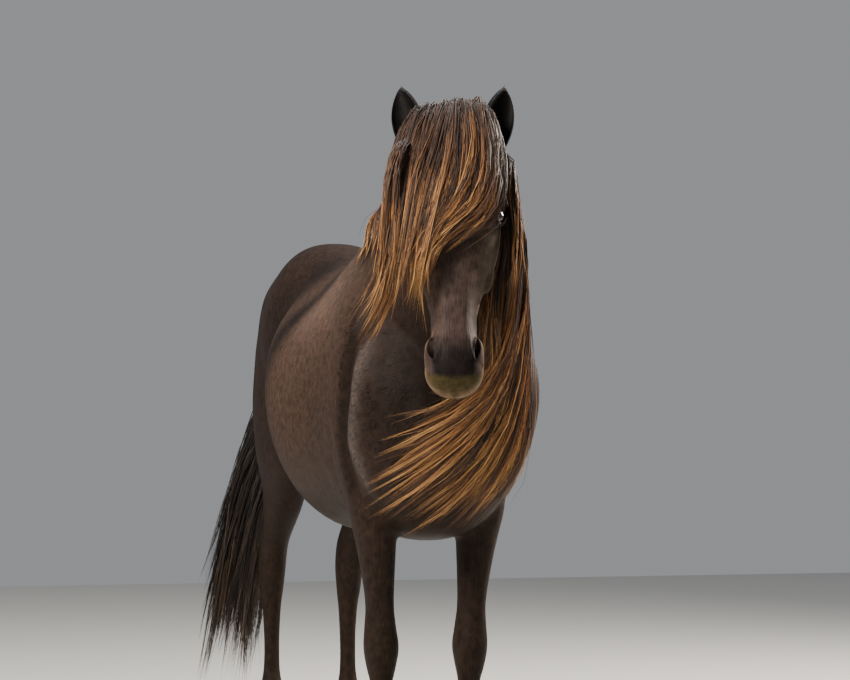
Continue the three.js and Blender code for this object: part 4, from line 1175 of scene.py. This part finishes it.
def lock_line(controls, width, layer, root_depth=12):
    """A lock's middle curve, lifted clear of the skin, the way out of the skin along it, and its width."""
    line = through(controls, RINGS * 2)
    rise = SKIN_CLEARANCE + layer * 6
    clearance = rise * np.clip(np.linspace(0, 5, len(line)), 0.25, 1)
    line, outward = lifted(line, clearance)
    line = soften(line)
    outward = soften(outward)
    outward /= np.linalg.norm(outward, axis=1, keepdims=True)
    line[0] -= outward[0] * root_depth
    return line, outward, width


STRANDS = 6
SHORTEST_HAIR = 0.6
WILD_HAIRS = 0.035
STEPS = np.linspace(0, 1, RINGS + 1)
POINT_STEPS = np.append(np.repeat(STEPS[:-1], 3), 1.0)


def along_locks(locks, owner, length):
    """For each hair, its lock's middle, the way across it and the way out, at steps down the hair."""
    lines = np.array([line for line, _, _ in locks])
    outs = np.array([outward for _, outward, _ in locks])
    at = length[:, None] * STEPS * (lines.shape[1] - 1)
    low = np.minimum(np.floor(at).astype(int), lines.shape[1] - 2)
    part = (at - low)[..., None]
    own = owner[:, None]
    middle = lines[own, low] * (1 - part) + lines[own, low + 1] * part
    out = outs[own, low] * (1 - part) + outs[own, low + 1] * part
    along = np.gradient(middle, axis=1)
    along /= np.linalg.norm(along, axis=2, keepdims=True)
    across = np.cross(along, out)
    across /= np.linalg.norm(across, axis=2, keepdims=True)
    return middle, across, np.cross(across, along)


def spread_hairs(share, half, wander, fray, strand_value):
    """How far hairs lie across and out from the lock's middle: from a place of their own at the root to their
    strand's at the tip, waving with the strand, and a few of them flying wild."""
    count = len(share)
    place = dice.uniform(-1, 1, count)
    height = dice.uniform(0, 1, count) ** 1.5
    strand_place = strand_value(-1, 1)
    strand_height = strand_value(0, 1)
    place = 0.45 * place + 0.55 * strand_place
    end_place = strand_place * 0.95 + dice.normal(0, fray, count)
    end_height = strand_height * 0.8 + np.abs(dice.normal(0, fray, count))
    ease = share ** 1.2
    sideways = (place[:, None] * (1 - ease) + end_place[:, None] * ease) * half
    outwards = (height[:, None] * (1 - ease) + end_height[:, None] * ease) * half * 0.45
    phase = dice.uniform(0, 2 * np.pi, (count, 3))[:, 1:2]
    strand_phase = strand_value(0, 2 * np.pi)[:, None]
    pace = strand_value(0.8, 1.3)[:, None]
    grown = np.clip(share * 2.5, 0, 1)
    sideways += wander * grown * np.sin(2 * np.pi * pace * share + strand_phase)
    sideways += 0.45 * wander * grown * np.sin(2 * np.pi * 2.3 * share + phase)
    outwards += 0.4 * wander * grown * (1 + np.sin(2 * np.pi * pace * share + strand_phase + 1.7))
    wild = (dice.random(count) < WILD_HAIRS)[:, None] * share ** 2
    sideways += wild * dice.normal(0, 24, (count, 1))
    outwards += wild * np.abs(dice.normal(0, 14, (count, 1)))
    return sideways, outwards


def hair_tubes(spine, across, out, thickness):
    """Each hair as a three-sided tube about its spine, thinner and thinner from the root to a point."""
    count = len(spine)
    radius = thickness * dice.uniform(0.6, 1.3, (count, 1)) * (1 - 0.85 * STEPS ** 1.5) / 2
    spin = (dice.uniform(0, 2 * np.pi, (count, 1, 1)) + np.arange(3) * 2 * np.pi / 3)[..., None]
    around = across[:, :-1, None] * np.cos(spin) * 1.3 + out[:, :-1, None] * np.sin(spin)
    ring = spine[:, :-1, None] + radius[:, :-1, None, None] * around
    return np.concatenate([ring.reshape(count, -1, 3), spine[:, -1:, :]], 1)


def hair_faces():
    """The faces of one hair: walls between its rings of three points, three at the tip and one at the root."""
    rings, sides = np.meshgrid(np.arange(RINGS - 1), np.arange(3), indexing="ij")
    a = (rings * 3 + sides).ravel()
    b = (rings * 3 + (sides + 1) % 3).ravel()
    walls = np.concatenate([np.stack([a, b, b + 3], -1), np.stack([a, b + 3, a + 3], -1)])
    last = (RINGS - 1) * 3
    tip = last + 3
    tips = np.array([[last, last + 1, tip], [last + 1, last + 2, tip], [last + 2, last, tip]])
    return np.concatenate([walls, tips, [[0, 2, 1]]])


def hair_tint(strand_sun, lock_sun, length, lean):
    """How far hairs are bleached, most at the tips and on outer ones, whose gold is partly a painted glow of
    light through them, and how dark they are, with painted shade on those that lie under others.
    """
    count = len(length)
    bleached = 0.55 * strand_sun + 0.25 * lock_sun + 0.2 * dice.random(count)
    run = POINT_STEPS * length[:, None]
    outer = 0.5 + 0.5 * np.clip(lean / 0.4, 0, 1)
    sun = np.clip(run ** 1.5 * (0.06 + 3.0 * bleached[:, None] ** 2.3) * outer[:, None], 0, 1)
    shade = np.broadcast_to(((0.4 + 0.6 * outer) * dice.uniform(0.6, 1.3, count))[:, None], sun.shape)
    return np.stack([sun, shade, shade], -1)


def hairs(name, locks, per_lock, thickness, wander, fray, finish, body_node=None):
    """Hairs about each lock's curve, each with its own place near the root that gathers into a strand."""
    owner = np.repeat(np.arange(len(locks)), per_lock)
    strand = dice.integers(0, STRANDS, len(owner))

    def strand_value(low, high):
        """A value drawn for each strand of each lock, given to each of the strand's hairs."""
        return dice.uniform(low, high, (len(locks), STRANDS))[owner, strand]

    length = strand_value(0.78, 1.0) * (1 - (1 - SHORTEST_HAIR) * dice.random(len(owner)) ** 2.6)
    middle, across, out = along_locks(locks, owner, length)
    half = np.array([width for _, _, width in locks], float)[owner][:, None] / 2
    sideways, outwards = spread_hairs(STEPS * length[:, None], half, wander, fray, strand_value)
    spine = middle + across * sideways[..., None] + out * outwards[..., None]
    points = hair_tubes(spine, across, out, thickness)
    strand_sun = strand_value(0, 1)
    lock_sun = dice.random(len(locks))[owner]
    tint = hair_tint(strand_sun, lock_sun, length, outwards[:, RINGS // 2] / half[:, 0])
    corners = np.stack([np.append(np.tile([0, 0.5, 1], RINGS), 0.5), POINT_STEPS], -1)
    uv = corners * MAP_PATCH + lie_on_map(spine[:, 0])[:, None] * (1 - MAP_PATCH)
    add_coat(name, points, hair_faces(), {"strand": tint}, uv, finish, body_node)


def lie_on_map(roots):
    """Where roots lie on the unwrap of the skin under them: along the crest or dock, and across it."""
    return ((roots - roots.min(0)) / np.ptp(roots, axis=0))[:, [1, 0]]


def hair_finish(name, stops, roughness):
    """Hair that turns from its root's colour to its bleached tip's, with painted shade where it lies under
    other hair.
    """
    material, tree, shader = new_finish(name)
    strand = new_node(tree, "Attribute", attribute_name="strand")
    parts = new_node(tree, "SeparateColor", {"Color": strand.outputs["Color"]})
    ramp = new_node(tree, "ValToRGB", {"Fac": parts.outputs["Red"]})
    elements = ramp.color_ramp.elements
    while len(elements) < len(stops):
        elements.new(0.5)
    for element, (place, colour) in zip(elements, stops):
        element.position = place
        element.color = (*colour, 1)
    shaded = scaled(tree, ramp.outputs["Color"], parts.outputs["Green"])
    fed(tree, shader, {"Base Color": shaded}, {"Roughness": roughness, "Specular IOR Level": HAIR_GLOSS})
    return material


HAIR_GLOSS = 0.2
# the mane's colours from root to bleached tip, those near the root lightened as painted light shining through
# the hair
MANE_STOPS = [
    (0.0, (0.030, 0.0190, 0.0145)), (0.2, (0.064, 0.0370, 0.0260)), (0.42, (0.155, 0.072, 0.032)),
    (0.66, (0.34, 0.148, 0.050)), (1.0, (0.60, 0.33, 0.120)),
]
mane_finish = hair_finish("mane_hair", MANE_STOPS, roughness=0.45)


def between(stations, share):
    """At each station down the hair, a point between the columns at a share from 0 to 1 of the way across."""
    columns = np.asarray(stations, float).transpose(1, 0, 2)
    at = share * (len(columns) - 1)
    first = min(int(at), len(columns) - 2)
    return columns[first] + (columns[first + 1] - columns[first]) * (at - first)


def crest_point(share, across, lift):
    """A point of the crest from the poll (0) to the withers (1)."""
    y, z = smooth_rows(NECK_ROWS, 6.2 - 5.2 * share)[0, :2]
    return turned([across, y, z + lift])


def scattered_lock(controls, kept, scatter, widths, layer, tip_scatter=0):
    """A lock through control points, all scattered but the first few, and the last one once more."""
    controls = np.array(controls)
    controls[kept:] += dice.normal(0, scatter, controls[kept:].shape)
    if tip_scatter:
        controls[-1] += dice.normal(0, tip_scatter, 3)
    return lock_line(controls, dice.uniform(*widths), layer)


# the sweep over the left shoulder and across the breast: columns from its outer edge to the strands under the
# muzzle, at stations on neck, side, front, breast and at the tips
SWEEP = [
    [[103, -300, 1270], [94, -350, 1287], [80, -400, 1300], [64, -440, 1315],
     [35, -510, 1320], [25, -515, 1330], [6, -520, 1328]],
    [[116, -320, 1000], [106, -350, 1040], [94, -380, 1060], [79, -400, 1080],
     [52, -450, 1096], [36, -460, 1115], [23, -470, 1134]],
    [[121, -340, 856], [97, -365, 856], [67, -380, 877], [38, -395, 897],
     [13, -420, 920], [-2, -430, 952], [-1, -440, 992]],
    [[101, -335, 770], [34, -355, 734], [-18, -365, 755], [-60, -370, 775],
     [-103, -390, 812], [-114, -405, 872], [-87, -420, 942]],
    [[49, -320, 698], [-61, -330, 657], [-125, -335, 664], [-197, -345, 677],
     [-241, -355, 730], [-235, -380, 824], [-179, -400, 942]],
]
# the strands blown out beside the right cheek, at four stations down
CHEEK_FALL = [
    [[-206, -540, 1415], [-211, -540, 1415], [-218, -540, 1422]],
    [[-209, -540, 1240], [-213, -530, 1240], [-219, -530, 1236]],
    [[-206, -515, 1140], [-212, -505, 1145], [-220, -498, 1148]],
    [[-236, -470, 1041], [-272, -455, 1022], [-318, -450, 1000]],
]
# the strands from behind the left ear, outside the left eye, in head distances
EAR_FALL = [
    [[60, -80, 6], [74, -98, 10]],
    [[90, -74, 16], [104, -90, 14]],
    [[101, -52, 56], [115, -70, 46]],
    [[106, -42, 110], [120, -62, 92]],
    [[112, -48, 161], [121, -70, 158]],
    [[110, -60, 218], [124, -84, 216]],
    [[102, -82, 300], [114, -100, 330]],
]
# side, locks, where on the crest they start, length there and at the withers
SIDE_FALLS = [(1, 34, 0.05, 520, 330), (-1, 26, 0.10, 250, 190)]
SWEEP_LOCKS = 48
CHEEK_LOCKS = 13
EAR_LOCKS = 9
mane_locks = []
for i in range(SWEEP_LOCKS):
    share = (i + dice.random()) / SWEEP_LOCKS
    roots = [crest_point(0.58 - 0.55 * share, 8, 0), crest_point(0.56 - 0.55 * share, 58, -28)]
    controls = [*roots, *between(SWEEP, share)]
    mane_locks.append(scattered_lock(
        controls, kept=2, scatter=7, widths=(14, 28), layer=0.5 + i % 3, tip_scatter=16,
    ))
for side, count, start, longest, shortest in SIDE_FALLS:
    for i in range(count):
        down_crest = (i + 0.5) / count
        share = start + (1 - start) * down_crest
        length = longest + (shortest - longest) * down_crest + dice.normal(0, 26)
        half = 60 + 66 * share
        controls = [
            crest_point(share, side * 6, 0), crest_point(share, side * half * 0.85, -45),
            crest_point(share - 0.03, side * half, -length * 0.5),
            crest_point(share - 0.07, side * half, -length),
        ]
        mane_locks.append(scattered_lock(controls, kept=2, scatter=8, widths=(26, 38), layer=0.6 * (i % 2)))
for i in range(CHEEK_LOCKS):
    share = dice.random()
    roots = [crest_point(0.01 + 0.16 * share, -10, 0), crest_point(0.02 + 0.16 * share, -60, -16)]
    controls = [*roots, *between(CHEEK_FALL, share)]
    mane_locks.append(scattered_lock(controls, kept=3, scatter=6, widths=(12, 24), layer=1 + i % 3))
for i in range(EAR_LOCKS):
    share = dice.random()
    controls = [crest_point(0.02 + 0.1 * share, 10, 0), *head_points(between(EAR_FALL, share))]
    mane_locks.append(scattered_lock(controls, kept=2, scatter=5, widths=(12, 22), layer=1 + i % 3))
hairs(
    "mane", mane_locks, per_lock=66, thickness=2.0, wander=6, fray=0.05, finish=mane_finish,
)

# seven columns from the horse's right to its left, in head distances, at eight stations down the forelock
FORELOCK_FALL = [
    [[-38, -54, 28], [-26, -50, 26], [-13, -48, 24], [2, -48, 24],
     [14, -48, 24], [26, -50, 26], [38, -54, 28]],
    [[-75, -40, -66], [-52, -24, -88], [-26, -18, -94], [0, -16, -97],
     [22, -16, -99], [45, -18, -95], [63, -24, -80]],
    [[-118, -40, 14], [-89, -16, 25], [-52, 8, 37], [-13, 18, 42],
     [30, 20, 43], [65, 14, 33], [89, -8, 14]],
    [[-132, -44, 108], [-108, -12, 123], [-71, 14, 135], [-32, 24, 139],
     [21, 28, 131], [68, 18, 116], [97, -6, 105]],
    [[-133, -48, 181], [-113, -14, 196], [-82, 12, 207], [-48, 22, 211],
     [-12, 26, 190], [40, 24, 181], [89, 2, 175]],
    [[-139, -50, 232], [-119, -16, 247], [-88, 8, 257], [-57, 18, 261],
     [-44, 22, 230], [-10, 24, 223], [52, 16, 213]],
    [[-154, -58, 313], [-128, -22, 327], [-95, 2, 327], [-65, 12, 331],
     [-59, 18, 286], [-50, 20, 250], [-6, 22, 234]],
    [[-226, -76, 425], [-155, -34, 404], [-107, -4, 406], [-71, 8, 396],
     [-69, 12, 371], [-65, 14, 342], [-54, 20, 264]],
]
FORELOCK_LOCKS = 50
forelock = []
for i in range(FORELOCK_LOCKS):
    share = (i + dice.random()) / FORELOCK_LOCKS
    share += 0.06 * math.sin(2 * math.pi * share)
    controls = head_points(between(FORELOCK_FALL, share))
    forelock.append(scattered_lock(
        controls, kept=1, scatter=5, widths=(16, 28), layer=i % 3, tip_scatter=9,
    ))
hairs(
    "forelock", forelock, per_lock=62, thickness=1.8, wander=6, fray=0.05, finish=mane_finish,
)

TAIL_STOPS = [(0.0, (0.013, 0.010, 0.0085)), (0.5, (0.028, 0.020, 0.0155)), (1.0, (0.085, 0.055, 0.035))]
tail_finish = hair_finish("tail_hair", TAIL_STOPS, roughness=0.5)
DOCK = [[0, 1085, 1262], [0, 1150, 1240], [-4, 1196, 1172], [-18, 1216, 1090], [-34, 1226, 1000]]
TAIL_MIDDLE = np.array([-118, 1250, 720.0])
TAIL_END = np.array([-196, 1262, 180.0])
TAIL_LOCKS = 52
tail_locks = []
dock_line = through(DOCK, 60)
for i in range(TAIL_LOCKS):
    share = (i + 0.5) / TAIL_LOCKS
    turn = i * math.pi * (3 - math.sqrt(5))
    out = np.array([math.cos(turn), math.sin(turn), 0])
    root = dock_line[int(56 * share)] + out * 12
    end = TAIL_END + [0, 0, 330 * (1 - share) * dice.random()]
    controls = [
        root, root + out * 26 + [0, 8, -70], TAIL_MIDDLE + out * np.array([40, 52, 0]) + dice.normal(0, 9, 3),
        end + out * np.array([52, 46, 0]) + dice.normal(0, 12, 3),
    ]
    tail_locks.append(lock_line(controls, dice.uniform(34, 48), layer=0, root_depth=6))
hairs(
    "tail", tail_locks, per_lock=76, thickness=2.6, wander=9, fray=0.2, finish=tail_finish,
    body_node="tail",
)
